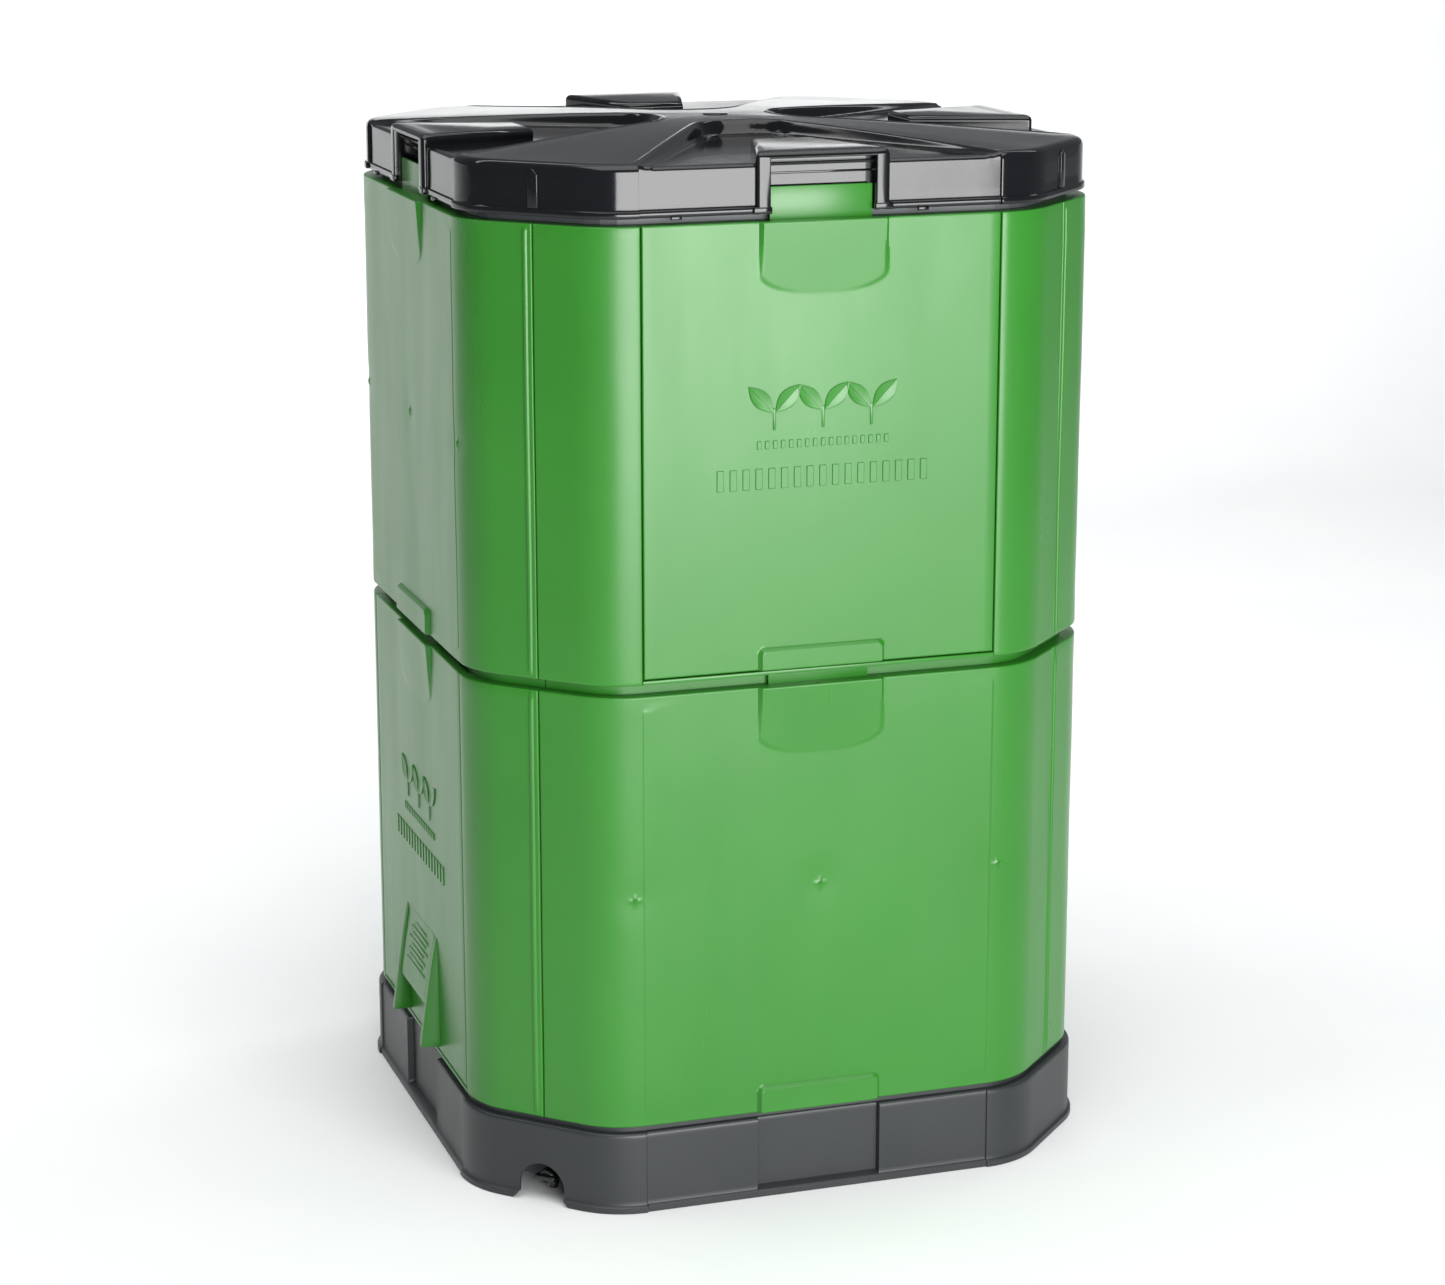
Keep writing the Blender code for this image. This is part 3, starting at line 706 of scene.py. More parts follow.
grip = {
    "half": 0.075,
    "top": 0.145,
    "bottom": 0.010,
    "reach": 0.0215,
    "hood": 0.058,
    "fin": 0.012,
    "thick": 0.003,
    "draft": 0.005,
    "sunk": 0.0022,  # how far the hood lies behind its fins
}
plate = {"half": 0.044, "low": 0.082, "high": 0.134, "bars": 8, "ends": (1.0, 0.72, 0.88, 0.6)}
# A generic relief on each leaf panel: sprigs of two leaves over two rows of short bars.
relief = {
    "rise": 0.0015,
    "long": 0.040,
    "wide": 0.019,
    "lean": 0.80,
    "sink": 0.001,
    "apart": 0.056,
    "stemHalf": 0.0016,
    "stemFrom": -0.018,
    "stemTo": 0.006,
    "bars": 17,
    "rows": ((0.034, 0.078, 0.0045), (0.071, 0.125, 0.0115)),  # drop, half width, half height
}


def leafShape(way, scale):
    # One leaf with a sunk middle, leaning left or right from its root.
    part = bmesh.new()
    bmesh.ops.create_circle(part, cap_ends=True, segments=32, radius=0.5)
    for vert in part.verts:
        vert.co.y *= 0.3 + 0.7 * (1 - (2 * abs(vert.co.x)) ** 2.2)
    bmesh.ops.inset_region(
        part, faces=part.faces, thickness=0.09, use_even_offset=True, use_boundary=True
    )
    middle = max(part.faces, key=lambda face: len(face.verts))
    bmesh.ops.translate(part, verts=middle.verts, vec=(0, 0, -0.5))
    size = Matrix.Diagonal((relief["long"] * scale, relief["wide"] * scale, relief["rise"], 1))
    turn = relief["lean"] if way > 0 else math.pi - relief["lean"]
    lean = Matrix.Rotation(turn, 4, "Z")
    shift = Matrix.Translation((relief["long"] * scale * 0.55, 0, 0))
    bmesh.ops.transform(part, matrix=lean @ shift @ size, verts=part.verts)
    rim = [e for e in part.edges if e.is_boundary]
    grown = bmesh.ops.extrude_edge_only(part, edges=rim)
    down = (0, 0, -relief["rise"] - relief["sink"])
    bmesh.ops.translate(part, verts=newVerts(grown), vec=down)
    return faceOut(part)


def leafRelief(up, scale):
    # Three sprigs in a row with two rows of bars under them.
    face = -wall["face"]
    work = bmesh.new()
    upright = Matrix.Rotation(math.pi / 2, 4, "X")
    for place in (-1, 0, 1):
        sprig = merged(bmesh.new(), leafShape(-1, scale), leafShape(1, scale))
        stemLow = (-relief["stemHalf"], relief["stemFrom"] * scale, -relief["sink"])
        stemHigh = (relief["stemHalf"], relief["stemTo"] * scale, 0)
        merged(sprig, block(stemLow, stemHigh, 0.0007))
        at = (place * relief["apart"] * scale, face - relief["rise"], up)
        bmesh.ops.transform(sprig, matrix=Matrix.Translation(at) @ upright, verts=sprig.verts)
        merged(work, sprig)
    for drop, half, tall in relief["rows"]:
        pitch = 2 * half * scale / relief["bars"]
        for step in range(relief["bars"]):
            middle = -half * scale + pitch * (step + 0.5)
            level = up - drop * scale
            bar = block(
                (middle - pitch * 0.27, face - relief["rise"] * 0.8, level - tall * scale),
                (middle + pitch * 0.27, face + relief["sink"], level + tall * scale),
                0.0006,
                1,
            )
            merged(work, bar)
    return work


def gripBlock(bottom):
    # A hood between two fins that swell out towards their feet.
    face = -wall["face"]

    def proud(height):
        share = (bottom + grip["top"] - height) / (grip["top"] - grip["bottom"])
        return grip["reach"] * share**0.82 if share > 0 else 0.0

    work = bmesh.new()
    levels = gridLines(bottom + grip["bottom"], bottom + grip["top"] - 0.001, 0.010)
    inner = grip["half"] - grip["fin"]
    for way in (-1, 1):
        fin = bmesh.new()
        bmesh.ops.create_cube(fin, size=1)
        for level in levels[1:-1]:
            share = (level - levels[0]) / (levels[-1] - levels[0]) - 0.5
            cut(fin, (0, 0, share), (0, 0, 1))
        for vert in fin.verts:
            level = levels[0] + (vert.co.z + 0.5) * (levels[-1] - levels[0])
            out = proud(level)
            share = out / grip["reach"]
            atWall = vert.co.y > 0
            if vert.co.x < 0:
                x = grip["half"] - grip["fin"] * (0.55 + 0.45 * share)
            elif atWall:
                x = grip["half"] + grip["draft"] * share
            else:
                x = grip["half"] - 0.001
            y = face + 0.002 if atWall else face - max(0.0005, out)
            vert.co = (way * x, y, level)
        faceOut(fin)
        softened(fin, sharpEdges(fin, 0.5), 0.0013, 2)
        merged(work, fin)

    def hoodPlace(along, height):
        return Vector((along, face - max(0.0004, proud(height) - grip["sunk"]), height))

    across = gridLines(-inner - 0.002, inner + 0.002, 0.012)
    hood = sheet(across, gridLines(bottom + grip["hood"], bottom + grip["top"], 0.008), hoodPlace)
    thickened(hood, grip["thick"])
    softened(hood, sharpEdges(hood, 1.0), 0.0011, 2)
    merged(work, hood)
    pitch = (plate["high"] - plate["low"]) / plate["bars"]
    for row in range(plate["bars"]):
        level = bottom + plate["low"] + pitch * (row + 0.5)
        half = plate["half"] * plate["ends"][row % 4]
        out = proud(level) - grip["sunk"]
        bar = block(
            (-half, face - out - 0.0009, level - pitch * 0.27),
            (half, face - out + 0.0015, level + pitch * 0.27),
            0.0006,
        )
        merged(work, bar)
    return work


# The two kinds of panel that sit in a frame, with the place and scale of their sprigs.
leafKinds = {
    "Hatch": {"tier": "upper", "pull": False, "up": 0.291, "scale": 1.0},
    "Door": {"tier": "lower", "pull": True, "up": 0.300, "scale": 0.95},
}


def leafPanel(side, kind, body, seed):
    # A door or a hatch: its face, the plug behind it, its tongue, sprigs and grip.
    look = leafKinds[kind]
    tier, pull = look["tier"], look["pull"]
    bottom, top = tiers[tier]
    low = bottom + opening["sill"] + opening["gap"]
    half = wall["flat"] - opening["gap"]
    wide = swell["half"] + 0.004
    columns = gridLines(-half, half, 0.013, [(-wide, wide, 0.002)])
    fineUp = [(top - swell["height"] - 0.002, top, 0.002)]
    if not pull:
        fineUp.append((low, bottom + tab["height"] + 0.002, 0.002))
    rows = gridLines(low, top, panel["coarse"], fineUp)

    def inward(along, height):
        edge = min(height - low, top - height, half - abs(along))
        rise = swellRise(along, top - height)
        if not pull:
            rise += tabRise(along, height - bottom)
        return wave(along, height, seed, panel["leafWave"], edge) - rise

    work = wallSheet(columns, rows, inward)
    plateBack = opening["rebate"] - opening["gap"] / 2
    edgesTurnedIn(work, plateBack, panel["edge"])
    thickened(work, wall["skin"])

    # Behind the face, a ring whose hole is turned back to make the plug.
    plug = half + opening["gap"] - opening["stile"] - opening["plugRoom"]
    plugEdge = opening["bar"] + opening["plugRoom"]
    levels = [low, bottom + plugEdge, top - plugEdge, top]
    ring = ringOf([-half, -plug, plug, half], levels, plateBack - wall["skin"])

    def onHole(vert):
        return abs(vert.co.x) <= plug + 1e-4 and low + 0.005 < vert.co.z < top - 0.005

    rim = [e for e in ring.edges if e.is_boundary and all(onHole(vert) for vert in e.verts)]
    for vert in newVerts(bmesh.ops.extrude_edge_only(ring, edges=rim)):
        vert.co.y = -wall["face"] + wall["depth"] - 0.0004
    merged(work, thickened(ring, wall["skin"]))
    merged(work, tongueBlock(top, tongue["lid"] if tier == "upper" else tongue["tier"]))
    if pull:
        merged(work, gripBlock(bottom))
    merged(work, leafRelief(bottom + look["up"], look["scale"]))
    turnedTo(work, side)
    return makePiece(f"{side}{kind}", work, greenPolypropylene, body,
                     [f"{side}_{kind.lower()}_outer"])


for side, kind, body, seed in (
    ("front", "Hatch", "root", 6.1),
    ("back", "Hatch", "root", 2.9),
    ("left", "Door", "door_left", 5.2),
    ("right", "Door", "door_right", 0.6),
):
    leafPanel(side, kind, body, seed)
print("doors and hatches ready")


# Base

base = {
    "top": tiers["lower"][0] - 0.006,
    "proud": 0.006,
    "lip": 0.0098,
    "lipTop": 0.0078,
    "wall": 0.0035,
    "setBack": 0.002,
    "recess": 0.0075,
    "recessHalf": 0.073,
    "rimInset": 0.004,
    "plinth": 0.0057,
    "upstand": 0.021,
    "upstandFrom": 0.0383,
    "upstandTo": 0.0413,
    "soft": 0.0006,
    "deck": 0.050,
    "archRadius": 0.029,
    "archCentre": 0.017,
    "archFlare": 0.008,
    "archFlareTop": 0.010,
    "archZone": (0.415, 0.06),  # beyond this along the corner, and below this height
    "bendLines": (0.212, 0.279, 0.006),
    "cornerLines": (0.043, 0.0026),
}


def closeRing(rowCount, columns, place):
    # Sweeps a closed section right round the walls: place(along, row) gives offset and height.
    work = bmesh.new()
    for turn in range(4):
        def put(along, row):
            offset, height = place(along, int(row) % rowCount)
            spot, out = wallPoint(along)
            spot = spot - out * offset
            return Matrix.Rotation(turn * math.pi / 2, 3, "Z") @ Vector((spot.x, spot.y, height))

        merged(work, sheet(columns, list(range(rowCount + 1)), put))
    bmesh.ops.remove_doubles(work, verts=work.verts, dist=1e-5)
    return faceOut(work)


def baseShell():
    # The section runs up the outside, over the deck and its upstand, and down the inside.
    top, proud, skin = base["top"], base["proud"], base["wall"]
    outside = [(-base["lip"] + 0.001, 0.0), (-base["lip"], 0.001), (-base["lip"], 0.0068)]
    outside += [(-base["lip"] + 0.0008, base["lipTop"]), (-proud - 0.0006, 0.0088)]
    levels = gridLines(0.0115, top - 0.004, 0.0028)
    outside += [(-proud, level) for level in levels]
    outside += [(-proud + 0.0004, top - 0.002), (-proud + 0.0012, top - 0.0007)]
    outside += [(-proud + 0.0026, top)]
    flatDeck = len(outside)
    rim = [(base["rimInset"] - 0.0004, top), (base["rimInset"], top + 0.0004)]
    rim += [(base["rimInset"] + 0.0003, top + base["plinth"] - 0.0005)]
    rim += [(base["rimInset"] + 0.0009, top + base["plinth"])]
    start, end, soft = base["upstandFrom"], base["upstandTo"], base["soft"]
    crest = top + base["upstand"]
    rim += [(start, top + base["plinth"]), (start, crest - soft), (start + soft, crest)]
    rim += [(end - soft, crest), (end, crest - soft), (end, top + 0.0003)]
    rim += [(base["deck"], top), (base["deck"], top - skin), (0.006, top - skin)]
    inside = [(skin - proud, level) for level in reversed(levels)]
    inside += [(skin - proud, 0.0085), (skin - proud, 0.0)]
    section = outside + rim + inside
    wallRows = set(range(0, flatDeck)) | set(range(len(outside) + len(rim), len(section)))

    def place(along, row):
        offset, height = section[row]
        if row in wallRows:
            reach = abs(along)
            offset += base["setBack"] * ramp(wall["flat"] + 0.0006 - reach, 0, 0.0012)
            if height > 0.010:
                step = ramp(base["recessHalf"] + 0.0007 - reach, 0, 0.0014)
                offset += base["recess"] * step * ramp(height, 0.0100, 0.0114)
        return offset, height

    span, pitch = base["cornerLines"]
    marks = [base["bendLines"], (halfRun - span, halfRun, pitch)]
    for edge in (base["recessHalf"], wall["flat"]):
        marks += [(edge - 0.0025, edge - 0.0006, 0.002), (edge - 0.0006, edge + 0.0009, 0.0004)]
        marks += [(edge + 0.0009, edge + 0.0028, 0.002)]
    columns = gridLines(-halfRun, halfRun, panel["coarse"], bothWays(marks))
    work = closeRing(len(section), columns, place)

    # The tap's arch is opened in the corner between the front and the left side.
    def archEdge(height):
        if height > base["archCentre"]:
            rise = min(1, (height - base["archCentre"]) / base["archRadius"])
            return base["archRadius"] * math.sqrt(1 - rise * rise)
        flare = max(0, 1 - height / base["archFlareTop"])
        return base["archRadius"] + base["archFlare"] * flare**2

    def inCorner(spot):
        beyond, below = base["archZone"]
        return -(spot.x + spot.y) * diagonal > beyond and spot.z < below

    def lateral(spot):
        return (spot.x - spot.y) * diagonal

    gone = []
    for face in work.faces:
        spot = face.calc_center_median()
        crown = base["archCentre"] + base["archRadius"]
        if inCorner(spot) and spot.z < crown and abs(lateral(spot)) < archEdge(spot.z):
            gone.append(face)
    bmesh.ops.delete(work, geom=gone, context="FACES")
    along = Vector((diagonal, -diagonal, 0))
    for vert in [v for v in work.verts if v.is_boundary and inCorner(v.co)]:
        where = lateral(vert.co)
        if vert.co.z > base["archCentre"]:
            ray = Vector((where, vert.co.z - base["archCentre"]))
            ray = ray.normalized() * base["archRadius"]
            vert.co += along * (ray.x - where)
            vert.co.z = base["archCentre"] + ray.y
        else:
            vert.co += along * (math.copysign(archEdge(vert.co.z), where) - where)
    # The reveal joins the outer rim to the inner one through the wall's thickness.
    middle = wall["seam"] / diagonal + proud - skin / 2
    chains = []
    for edge in [e for e in work.edges if e.is_boundary]:
        beyond = [-(v.co.x + v.co.y) * diagonal > middle for v in edge.verts]
        if beyond[0] == beyond[1]:
            chains.append(edge)
    bmesh.ops.bridge_loops(work, edges=chains)
    faceOut(work)
    return makePiece(
        "baseMoulding", work, satinBlackPolyethylene, "root", ["base_shell"], 35
    )


baseShell()
print("base ready")


# Lid

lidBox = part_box("lid_outer")
lid = {
    "bottom": lidBox[0].z,
    "top": lidBox[1].z,
    "skirtTop": lidBox[1].z - 0.016,
    "lip": 0.0012,
    "lipTop": 0.0075,
    "corner": 0.004,
    "setBack": 0.003,
    "roll": 0.009,
    "valleyEdge": 0.206,
    "valleyTip": 0.80,  # share of the way to the centre
    "valleyDrop": 0.0035,
    "valleyRound": 0.030,
    "valleySlope": 0.009,
    "valleyRise": 0.0012,
    "ledge": 0.0145,  # how far inside its rim the valley has a second, lower step
    "ledgeDrop": 0.0012,
    "rim": 0.0010,
    "rimWide": 0.0026,
    "rimAt": 0.003,
    "skin": 0.003,
    "notch": 0.060,
    "notchDeep": 0.018,
    "notchTop": 0.058,
    "housing": 0.0775,
    "tail": 0.035,
    "long": 0.140,
    "housingTop": 0.009,
    "housingSoft": 0.0065,
    "mouthSoft": 0.0016,
    "bendEnd": 0.279,
    "nibs": (-0.165, 0.115),  # small nibs under the skirt of each side
    "nibHalf": 0.006,
    "button": (0.016, 0.0145, 0.004),  # the hub's radii and depth
    "ribHalf": 0.006,
    "ribSpan": (0.008, 0.044),
}


def lidHeight(along, inwards):
    # Height of the lid's top, by place along the edge and share of the way to the centre.
    dome = lid["top"] - lid["rim"] - lid["skirtTop"]
    arm = lid["skirtTop"] + dome * math.sin(inwards * math.pi / 2) ** 1.15
    valley = lid["skirtTop"] - lid["valleyDrop"] + lid["valleyRise"] * inwards
    side = (lid["valleyEdge"] - abs(along)) * (1 - inwards)
    tip = (lid["valleyTip"] - inwards) * wall["face"]
    curve = lid["valleyRound"]
    if side < curve and tip < curve:
        inside = curve - math.hypot(curve - side, curve - tip)
    else:
        inside = min(side, tip)
    sunk = ramp(inside, 0.0, lid["valleySlope"])
    ledge = ramp(inside, lid["ledge"], lid["ledge"] + 0.002)
    rolled = math.exp(-(((inside + lid["rimAt"]) / lid["rimWide"]) ** 2))
    rolled *= ramp(inwards, 0.0, 0.04)
    valley += lid["ledgeDrop"] * (1 - ledge)
    return arm + (valley - arm) * sunk + lid["rim"] * 0.8 * rolled * (1 - sunk)


def lidShell():
    # The section runs from the lip up the skirt, round its rolled edge and in to the hub.
    bottom, top, skin = lid["bottom"], lid["skirtTop"], lid["skin"]
    section = [(lid["corner"] + skin, bottom), (lid["lip"] + 0.0008, bottom)]
    section += [(lid["lip"], bottom + 0.0008), (lid["lip"], bottom + lid["lipTop"] - 0.0008)]
    section += [(lid["lip"] + 0.0008, bottom + lid["lipTop"])]
    section += [(lid["corner"] - 0.0004, bottom + lid["lipTop"] + 0.0006)]
    levels = gridLines(bottom + lid["lipTop"] + 0.002, top - lid["roll"], 0.012)
    section += [(lid["corner"], level) for level in levels]
    steps = 6  # rows round the rolled edge
    skirtRows = len(section)
    rolled = [math.radians(90 * i / steps) for i in range(1, steps + 1)]
    tipSpan = (lid["valleyTip"] - 0.05, lid["valleyTip"] + 0.025, 0.005)
    inwards = gridLines(0.0, 1.0, 0.03, [(0.0, 0.02, 0.01), tipSpan])[1:]
    rows = skirtRows + steps + len(inwards)

    def place(along, row):
        row = int(row)
        inFlat = ramp(wall["flat"] + 0.0006 - abs(along), 0, 0.0012)
        back = lid["setBack"] * inFlat
        roll = lid["roll"] * (1 - 0.45 * inFlat)
        edgeTop = lidHeight(along, 0.0)
        spot, out = wallPoint(along)
        if row < skirtRows:
            offset, height = section[row]
            return spot - out * (offset + back) + Vector((0, 0, height))
        flatEdge = lid["corner"] + back + roll
        if row < skirtRows + steps:
            turn = rolled[row - skirtRows]
            offset = lid["corner"] + back + roll * (1 - math.cos(turn))
            return spot - out * offset + Vector((0, 0, edgeTop - roll * (1 - math.sin(turn))))
        share = inwards[row - skirtRows - steps]
        start = spot - out * flatEdge
        height = lidHeight(along, share)
        return Vector((start.x * (1 - share), start.y * (1 - share), height))

    edge = wall["flat"]
    marks = [(edge - 0.003, edge - 0.0006, 0.002), (edge - 0.0006, edge + 0.0009, 0.0004)]
    marks += [(edge + 0.0009, edge + 0.012, 0.0018), (edge - 0.020, edge - 0.003, 0.0015)]
    marks += [(lid["housing"], edge - 0.020, 0.004), (edge + 0.012, lid["bendEnd"], 0.006)]
    marks += [(lid["housing"] - 0.002, lid["housing"], 0.002)]
    columns = gridLines(-halfRun, halfRun, 0.012, bothWays(marks))
    work = bmesh.new()
    for turn in range(4):
        spin = Matrix.Rotation(turn * math.pi / 2, 3, "Z")
        merged(work, sheet(columns, list(range(rows)), lambda a, r: spin @ place(a, r)))
    bmesh.ops.remove_doubles(work, verts=work.verts, dist=1e-5)
    # The skirt is left out behind each housing, which has its own walls.
    gone = []
    for face in work.faces:
        spot = face.calc_center_median()
        across = min(abs(spot.x), abs(spot.y))
        if across < lid["housing"] - 0.002 and spot.z < top - 0.004 and \
                max(abs(spot.x), abs(spot.y)) > wall["face"] - 0.02:
            gone.append(face)
    bmesh.ops.delete(work, geom=gone, context="FACES")
    faceOut(work)
    thickened(work, skin)

    for side in sides:
        merged(work, turnedTo(housing(), side))
        merged(work, turnedTo(cornerRib(), side))
        for along in lid["nibs"]:
            nib = block(
                (along - lid["nibHalf"], -wall["face"] + 0.0022, bottom - 0.0028),
                (along + lid["nibHalf"], -wall["face"] + 0.007, bottom + 0.001),
                0.0007,
            )
            merged(work, turnedTo(nib, side))
    button = bmesh.new()
    foot, crown, depth = lid["button"]
    bmesh.ops.create_cone(
        button, cap_ends=True, segments=40, radius1=foot, radius2=crown, depth=depth
    )
    bmesh.ops.translate(button, verts=button.verts, vec=(0, 0, lid["top"] - 0.0021))
    softened(button, sharpEdges(button, 0.7), 0.0006, 2)
    merged(work, button)
    return makePiece(
        "lidMoulding", work, glossBlackPolypropylene, "lid", ["lid_outer"], 50
    )


def housing():
    # The bridge over each finger notch: two legs, a roof that runs inwards, a back wall.
    front = -wall["face"] + 0.0012
    low, high = lid["bottom"], lid["skirtTop"] + lid["housingTop"]
    deep = front + lid["notchDeep"]
    arch = lid["bottom"] + lid["notchTop"]
    work = bmesh.new()
    bmesh.ops.create_cube(work, size=1)
    for vert in work.verts:
        back = vert.co.y > 0
        half = lid["tail"] if back else lid["housing"]
        y = front + lid["long"] if back else front
        vert.co = (math.copysign(half, vert.co.x), y, low if vert.co.z < 0 else high)
    for spot, way in (
        ((-lid["notch"], 0, 0), (1, 0, 0)),
        ((lid["notch"], 0, 0), (1, 0, 0)),
        ((0, 0, arch), (0, 0, 1)),
        ((0, deep, 0), (0, 1, 0)),
    ):
        cut(work, spot, way, 1e-6)
    mouth = []
    for face in work.faces:
        spot = face.calc_center_median()
        if abs(spot.x) < lid["notch"] and spot.z < arch and abs(spot.y - front) < 1e-5:
            mouth.append(face)
    grown = bmesh.ops.extrude_face_region(work, geom=mouth)
    bmesh.ops.translate(work, verts=newVerts(grown), vec=(0, lid["notchDeep"], 0))
    bmesh.ops.delete(work, geom=[f for f in mouth if f.is_valid], context="FACES_ONLY")
    gone = []
    for face in work.faces:
        spot = face.calc_center_median()
        if abs(spot.x) < lid["notch"] - 0.001 and abs(spot.z - low) < 1e-5 and spot.y < deep:
            gone.append(face)
    bmesh.ops.delete(work, geom=gone, context="FACES")
    bmesh.ops.remove_doubles(work, verts=work.verts, dist=1e-5)
    faceOut(work)
    close = 1e-4

    def atFront(edge):
        return all(abs(vert.co.y - front) < close for vert in edge.verts)

    top, legs, mouthEdges = [], [], []
    for edge in sharpEdges(work, 0.5):
        if all(abs(vert.co.z - high) < close for vert in edge.verts):
            top.append(edge)
        elif atFront(edge) and all(abs(v.co.x) > lid["notch"] + 0.001 for v in edge.verts):
            legs.append(edge)
    softened(work, top + legs, lid["housingSoft"], 5)
    for edge in sharpEdges(work, 0.5):
        across = max(abs(vert.co.x) for vert in edge.verts)
        highest = max(vert.co.z for vert in edge.verts)
        if atFront(edge) and across < lid["notch"] + close and highest < arch + close:
            mouthEdges.append(edge)
    softened(work, mouthEdges, lid["mouthSoft"], 3)
    # A line across the notch's back wall, and a foot under each leg.
    merged(work, block((-lid["notch"], deep - 0.0008, low + 0.040),
                       (lid["notch"], deep + 0.001, low + 0.0425), 0.0005))
    for way in (-1, 1):
        ends = sorted((way * (lid["notch"] - 0.0015), way * (lid["housing"] + 0.002)))
        merged(work, block((ends[0], front - 0.0008, low), (ends[1], front + 0.006, low + 0.0075),
                           0.0012))
    return work


def cornerRib():
    # A pointed rib in the middle of each corner of the skirt.
    low, high = (lid["bottom"] + level for level in lid["ribSpan"])
    work = bmesh.new()
    bmesh.ops.create_cube(work, size=1)
    cut(work, (0, 0, 0), (1, 0, 0))
    reach = wall["seam"] / diagonal - lid["corner"]
    for vert in work.verts:
        middle = abs(vert.co.x) < 1e-4
        z = low if vert.co.z < 0 else high + (lid["ribHalf"] if middle else 0)
        y = (0.002 if vert.co.y > 0 else -0.0024) - reach
        vert.co = (vert.co.x * 2 * lid["ribHalf"], y, z)
    faceOut(work)
    softened(work, sharpEdges(work, 0.5), 0.0008, 2)
    bmesh.ops.rotate(work, verts=work.verts, cent=(0, 0, 0),
                     matrix=Matrix.Rotation(math.radians(-45), 3, "Z"))
    return work


lidShell()
print("lid ready")


# Tap

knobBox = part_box("tap_knob")
tap = {
    "height": (knobBox[0].z + knobBox[1].z) / 2,
    "bore": 0.0036,
    "nozzle": 0.006,
    "drop": 0.018,
    "flange": 0.016,
    "barrel": 0.0095,
    "collar": 0.0102,
    "socket": 0.015,  # how far the barrel reaches into the sump's wall
    "out": wall["seam"] / diagonal - 0.050,  # outside of the sump's wall, from the middle
    "knobGap": 0.0005,
    "knob": 0.0090,
    "wing": (0.0125, 0.003),
    "ridges": 20,
}
tapOut = {
    "flangeIn": tap["out"] + 0.0034,
    "flangeOut": tap["out"] + 0.0064,
    "end": tap["out"] + 0.0364,
}


def cornerPlace(work):
    # Turns a piece made along +X to point out of the front left corner.
    bmesh.ops.rotate(work, verts=work.verts, cent=(0, 0, 0),
                     matrix=Matrix.Rotation(math.radians(225), 3, "Z"))
    bmesh.ops.translate(work, verts=work.verts, vec=(0, 0, tap["height"]))
    return work


def turnedShape(profile, turns=36):
    # Spins a profile of (distance out, radius) round the X axis.
    work = bmesh.new()
    chain = [work.verts.new((x, 0, r)) for x, r in profile]
    edges = [work.edges.new(pair) for pair in zip(chain, chain[1:])]
    bmesh.ops.spin(work, geom=chain + edges, cent=(0, 0, 0), axis=(1, 0, 0), dvec=(0, 0, 0),
                   angle=math.tau, steps=turns, use_merge=True)
    bmesh.ops.remove_doubles(work, verts=work.verts, dist=1e-6)
    return faceOut(work)


# The barrel: a threaded end in the sump's wall, a flange outside it, a collar at the knob.
inEnd = tap["out"] - tap["socket"]
barrel = turnedShape([
    (inEnd, tap["bore"]), (inEnd, 0.0072), (inEnd + 0.0008, 0.008),
    (tapOut["flangeIn"], 0.008), (tapOut["flangeIn"], tap["flange"] - 0.0006),
    (tapOut["flangeIn"] + 0.0006, tap["flange"]), (tapOut["flangeOut"] - 0.0008, tap["flange"]),
    (tapOut["flangeOut"], tap["flange"] - 0.0008), (tapOut["flangeOut"], 0.0115),
    (tapOut["flangeOut"] + 0.002, tap["barrel"]), (tapOut["end"] - 0.014, tap["barrel"]),
    (tapOut["end"] - 0.013, tap["collar"]), (tapOut["end"] - 0.0006, tap["collar"]),
    (tapOut["end"], tap["collar"] - 0.0006), (tapOut["end"], 0.0),
    (tapOut["end"] - 0.004, 0.0), (tapOut["end"] - 0.004, tap["bore"]),
    (inEnd, tap["bore"]),
])
# The spout hangs from the collar.
nozzle = turnedShape([
    (0.0, 0.0), (0.0, tap["nozzle"]), (tap["drop"] * 0.55, tap["nozzle"] * 0.95),
    (tap["drop"] * 0.58, tap["nozzle"] * 1.1), (tap["drop"] * 0.66, tap["nozzle"] * 1.1),
    (tap["drop"] * 0.70, tap["nozzle"] * 0.92), (tap["drop"] - 0.0005, tap["nozzle"] * 0.85),
    (tap["drop"], tap["nozzle"] * 0.78), (tap["drop"], tap["bore"]),
    (tap["drop"] * 0.3, tap["bore"]), (tap["drop"] * 0.3, 0.0),
], 28)
bmesh.ops.rotate(nozzle, verts=nozzle.verts, cent=(0, 0, 0),
                 matrix=Matrix.Rotation(math.radians(90), 3, "Y"))
bmesh.ops.translate(nozzle, verts=nozzle.verts, vec=(tapOut["end"] - 0.008, 0, 0))
merged(barrel, nozzle)
makePiece("tapBarrel", cornerPlace(barrel), blackNylon, "root", ["tap_body"], 35)

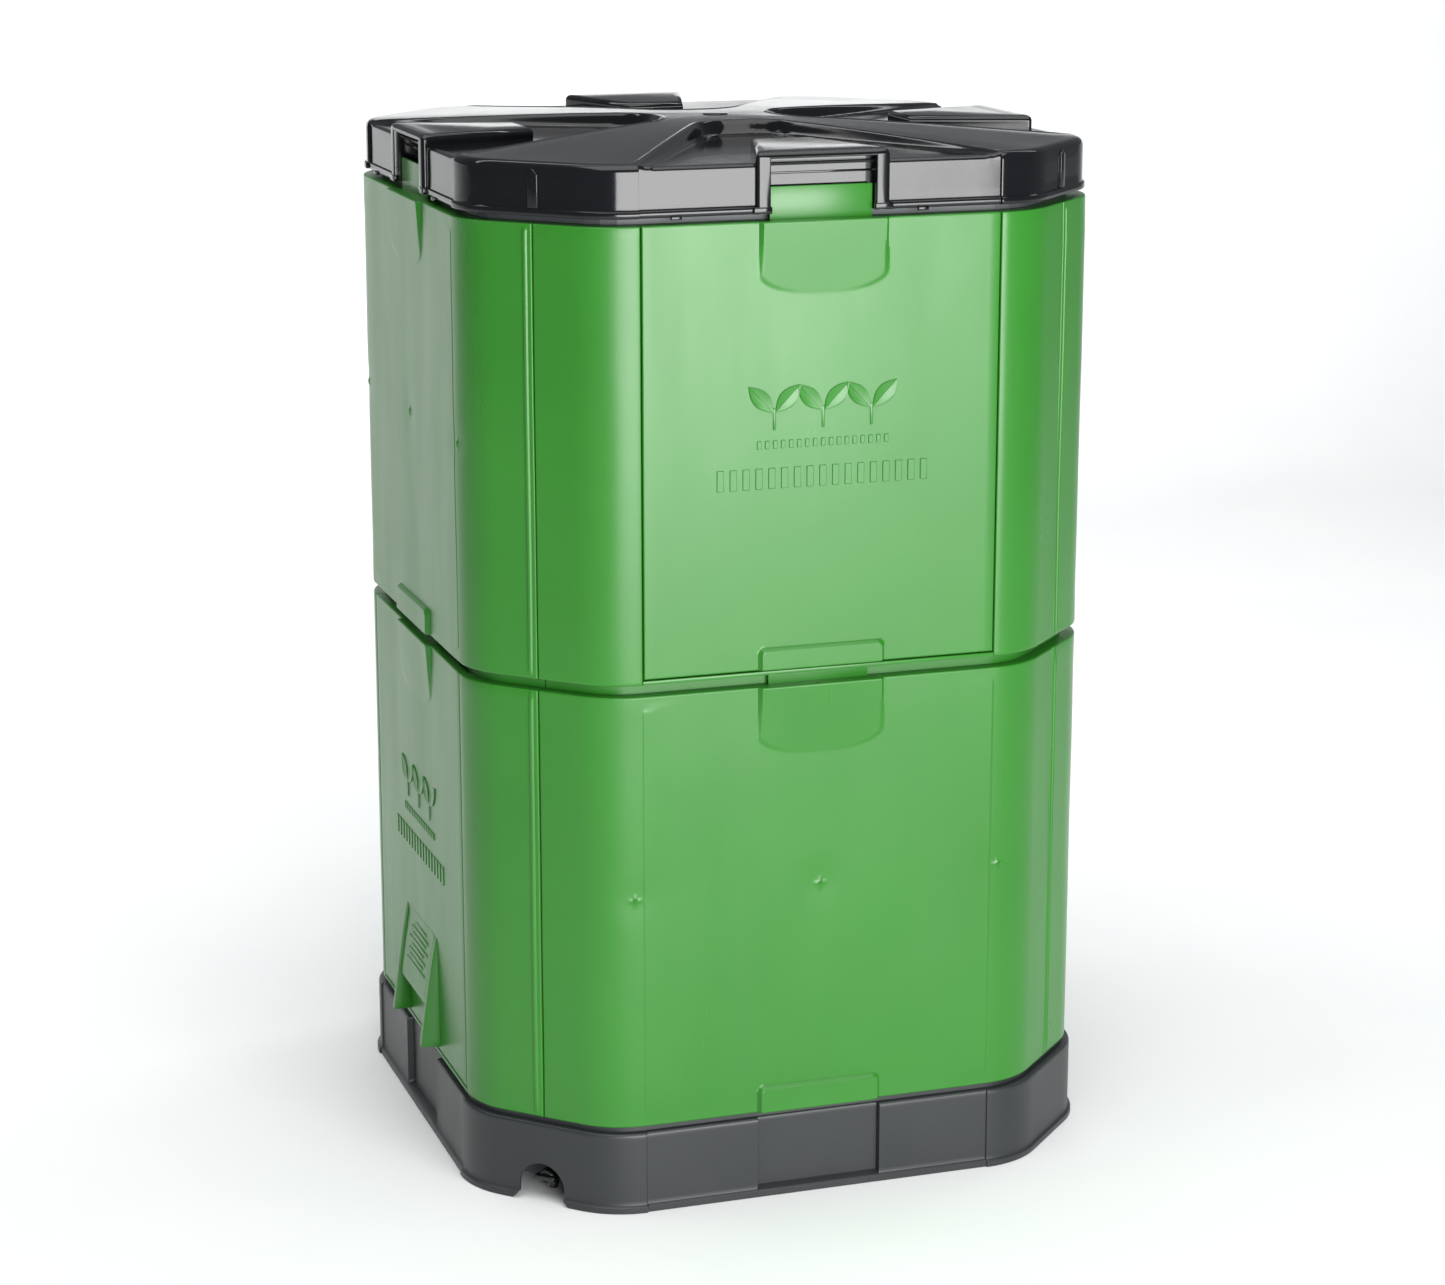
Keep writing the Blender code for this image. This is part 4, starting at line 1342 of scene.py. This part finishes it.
# The knob: a ridged drum with a wing across its end.
knobIn = tapOut["end"] + tap["knobGap"]
knob = turnedShape([
    (knobIn, 0.0), (knobIn, 0.0072), (knobIn + 0.0012, tap["knob"]),
    (knobIn + 0.0085, tap["knob"]),
    (knobIn + 0.0097, 0.0080), (knobIn + 0.0100, 0.0062), (knobIn + 0.0090, 0.0052),
    (knobIn + 0.0090, 0.0),
])
wide, thick = tap["wing"]
merged(knob, block((knobIn + 0.004, -wide, -thick), (knobIn + 0.0138, wide, thick), 0.0014, 3))
for step in range(tap["ridges"]):
    low = (knobIn + 0.0016, -0.0005, tap["knob"] - 0.0004)
    high = (knobIn + 0.0082, 0.0005, tap["knob"] + 0.0004)
    ridge = block(low, high, 0.0002, 1)
    bmesh.ops.rotate(ridge, verts=ridge.verts, cent=(0, 0, 0),
                     matrix=Matrix.Rotation(step * math.tau / tap["ridges"], 3, "X"))
    merged(knob, ridge)
makePiece("tapHandle", cornerPlace(knob), blackNylon, "tap_knob", ["tap_knob"], 35)
print("tap ready")


# Carried-over CAD nodes take their finish from their slot.
slotFinish = {
    "green_inner": greenInnerPolypropylene,
    "grey_plastic": greyPolypropylene,
    "foam": polyurethaneFoam,
    "rubber": nitrileRubber,
    "tap_black": blackNylon,
    "green_wall": greenPolypropylene,
    "lid_black": glossBlackPolypropylene,
    "base_black": satinBlackPolyethylene,
}
for row in frame["record"]["subparts"]:
    node = frame["nodes"].get(row["node"])
    if node is not None:
        node.data.materials.clear()
        node.data.materials.append(slotFinish[row["material_slot"]])


# Floor, light and camera

def studioMaterial():
    # A matt painted studio floor, nearly white, with the faintest roller mottle.
    material = bpy.data.materials.new("mattFloorPaint")
    material.use_nodes = True
    tree = material.node_tree
    shader = tree.nodes["Principled BSDF"]
    shader.inputs["Roughness"].default_value = 0.7
    where = addNode(tree, "ShaderNodeTexCoord").outputs["Object"]
    mottle = addNode(tree, "ShaderNodeTexNoise", {"Scale": 2.5, "Detail": 2.0}, {"Vector": where})
    tint = addNode(tree, "ShaderNodeMix", {"data_type": "RGBA"}, {"Factor": mottle.outputs["Fac"]})
    tint.inputs[6].default_value = colour("#EEEFF0")
    tint.inputs[7].default_value = colour("#F6F6F5")
    tree.links.new(tint.outputs[2], shader.inputs["Base Color"])
    return material


# A sweep: flat floor that curves up into a wall behind.
sweep = {"half": 9.0, "front": -11.0, "bend": 3.0, "radius": 1.3, "high": 1.6}
path = [(sweep["front"] + (sweep["bend"] - sweep["front"]) * i / 8, 0) for i in range(9)]
for i in range(1, 17):
    turn = i / 16 * math.pi / 2
    path.append((sweep["bend"] + sweep["radius"] * math.sin(turn),
                 sweep["radius"] * (1 - math.cos(turn))))
path.append((sweep["bend"] + sweep["radius"], sweep["high"]))
floorWork = sheet(
    [-sweep["half"], 0, sweep["half"]],
    list(range(len(path))),
    lambda across, row: Vector((across, *path[row])),
)
floorMesh = bpy.data.meshes.new("floor")
floorWork.to_mesh(floorMesh)
floorWork.free()
floorMesh.shade_smooth()
floorMesh.materials.append(studioMaterial())
floor = bpy.data.objects.new("floor", floorMesh)
bpy.context.scene.collection.objects.link(floor)

world = bpy.data.worlds.new("studio")
world.use_nodes = True
sky = world.node_tree.nodes["Background"]
sky.inputs["Color"].default_value = (0.90, 0.95, 1.0, 1)
sky.inputs["Strength"].default_value = 0.20
bpy.context.scene.world = world

# A wide key at the front, a large soft box overhead and a strip for the wall behind.
lamps = {
    "key": {"at": (0.3, -4.6, 1.0), "aim": (0, 0, 0.7), "size": (3.4, 1.9), "watts": 260},
    "top": {"at": (-0.3, -1.6, 4.5), "aim": (-0.2, -0.5, 0), "size": (4.6, 4.2), "watts": 165},
    "wall": {"at": (0.0, 1.2, 3.6), "aim": (0, 4.4, 0.6), "size": (7.0, 1.2), "watts": 150},
}
for name, lamp in lamps.items():
    light = bpy.data.lights.new(name, "AREA")
    light.shape = "RECTANGLE"
    light.size, light.size_y = lamp["size"]
    light.energy = lamp["watts"]
    holder = bpy.data.objects.new(name, light)
    bpy.context.scene.collection.objects.link(holder)
    at, aim = Vector(lamp["at"]), Vector(lamp["aim"])
    holder.location = at
    holder.rotation_euler = (aim - at).to_track_quat("-Z", "Y").to_euler()
    holder.visible_camera = False

view = {"at": (-1.2678, -3.8037, 1.5571), "down": 0.2448, "turn": 0.3239, "lens": 85.31}
lens = bpy.data.cameras.new("camera")
lens.lens = view["lens"]
lens.sensor_width = 36
lens.sensor_fit = "HORIZONTAL"
camera = bpy.data.objects.new("camera", lens)
bpy.context.scene.collection.objects.link(camera)
camera.location = view["at"]
camera.rotation_euler = (math.pi / 2 - view["down"], 0, -view["turn"])
bpy.context.scene.camera = camera
bpy.context.scene.view_settings.view_transform = "Standard"
print("floor, light and camera ready")
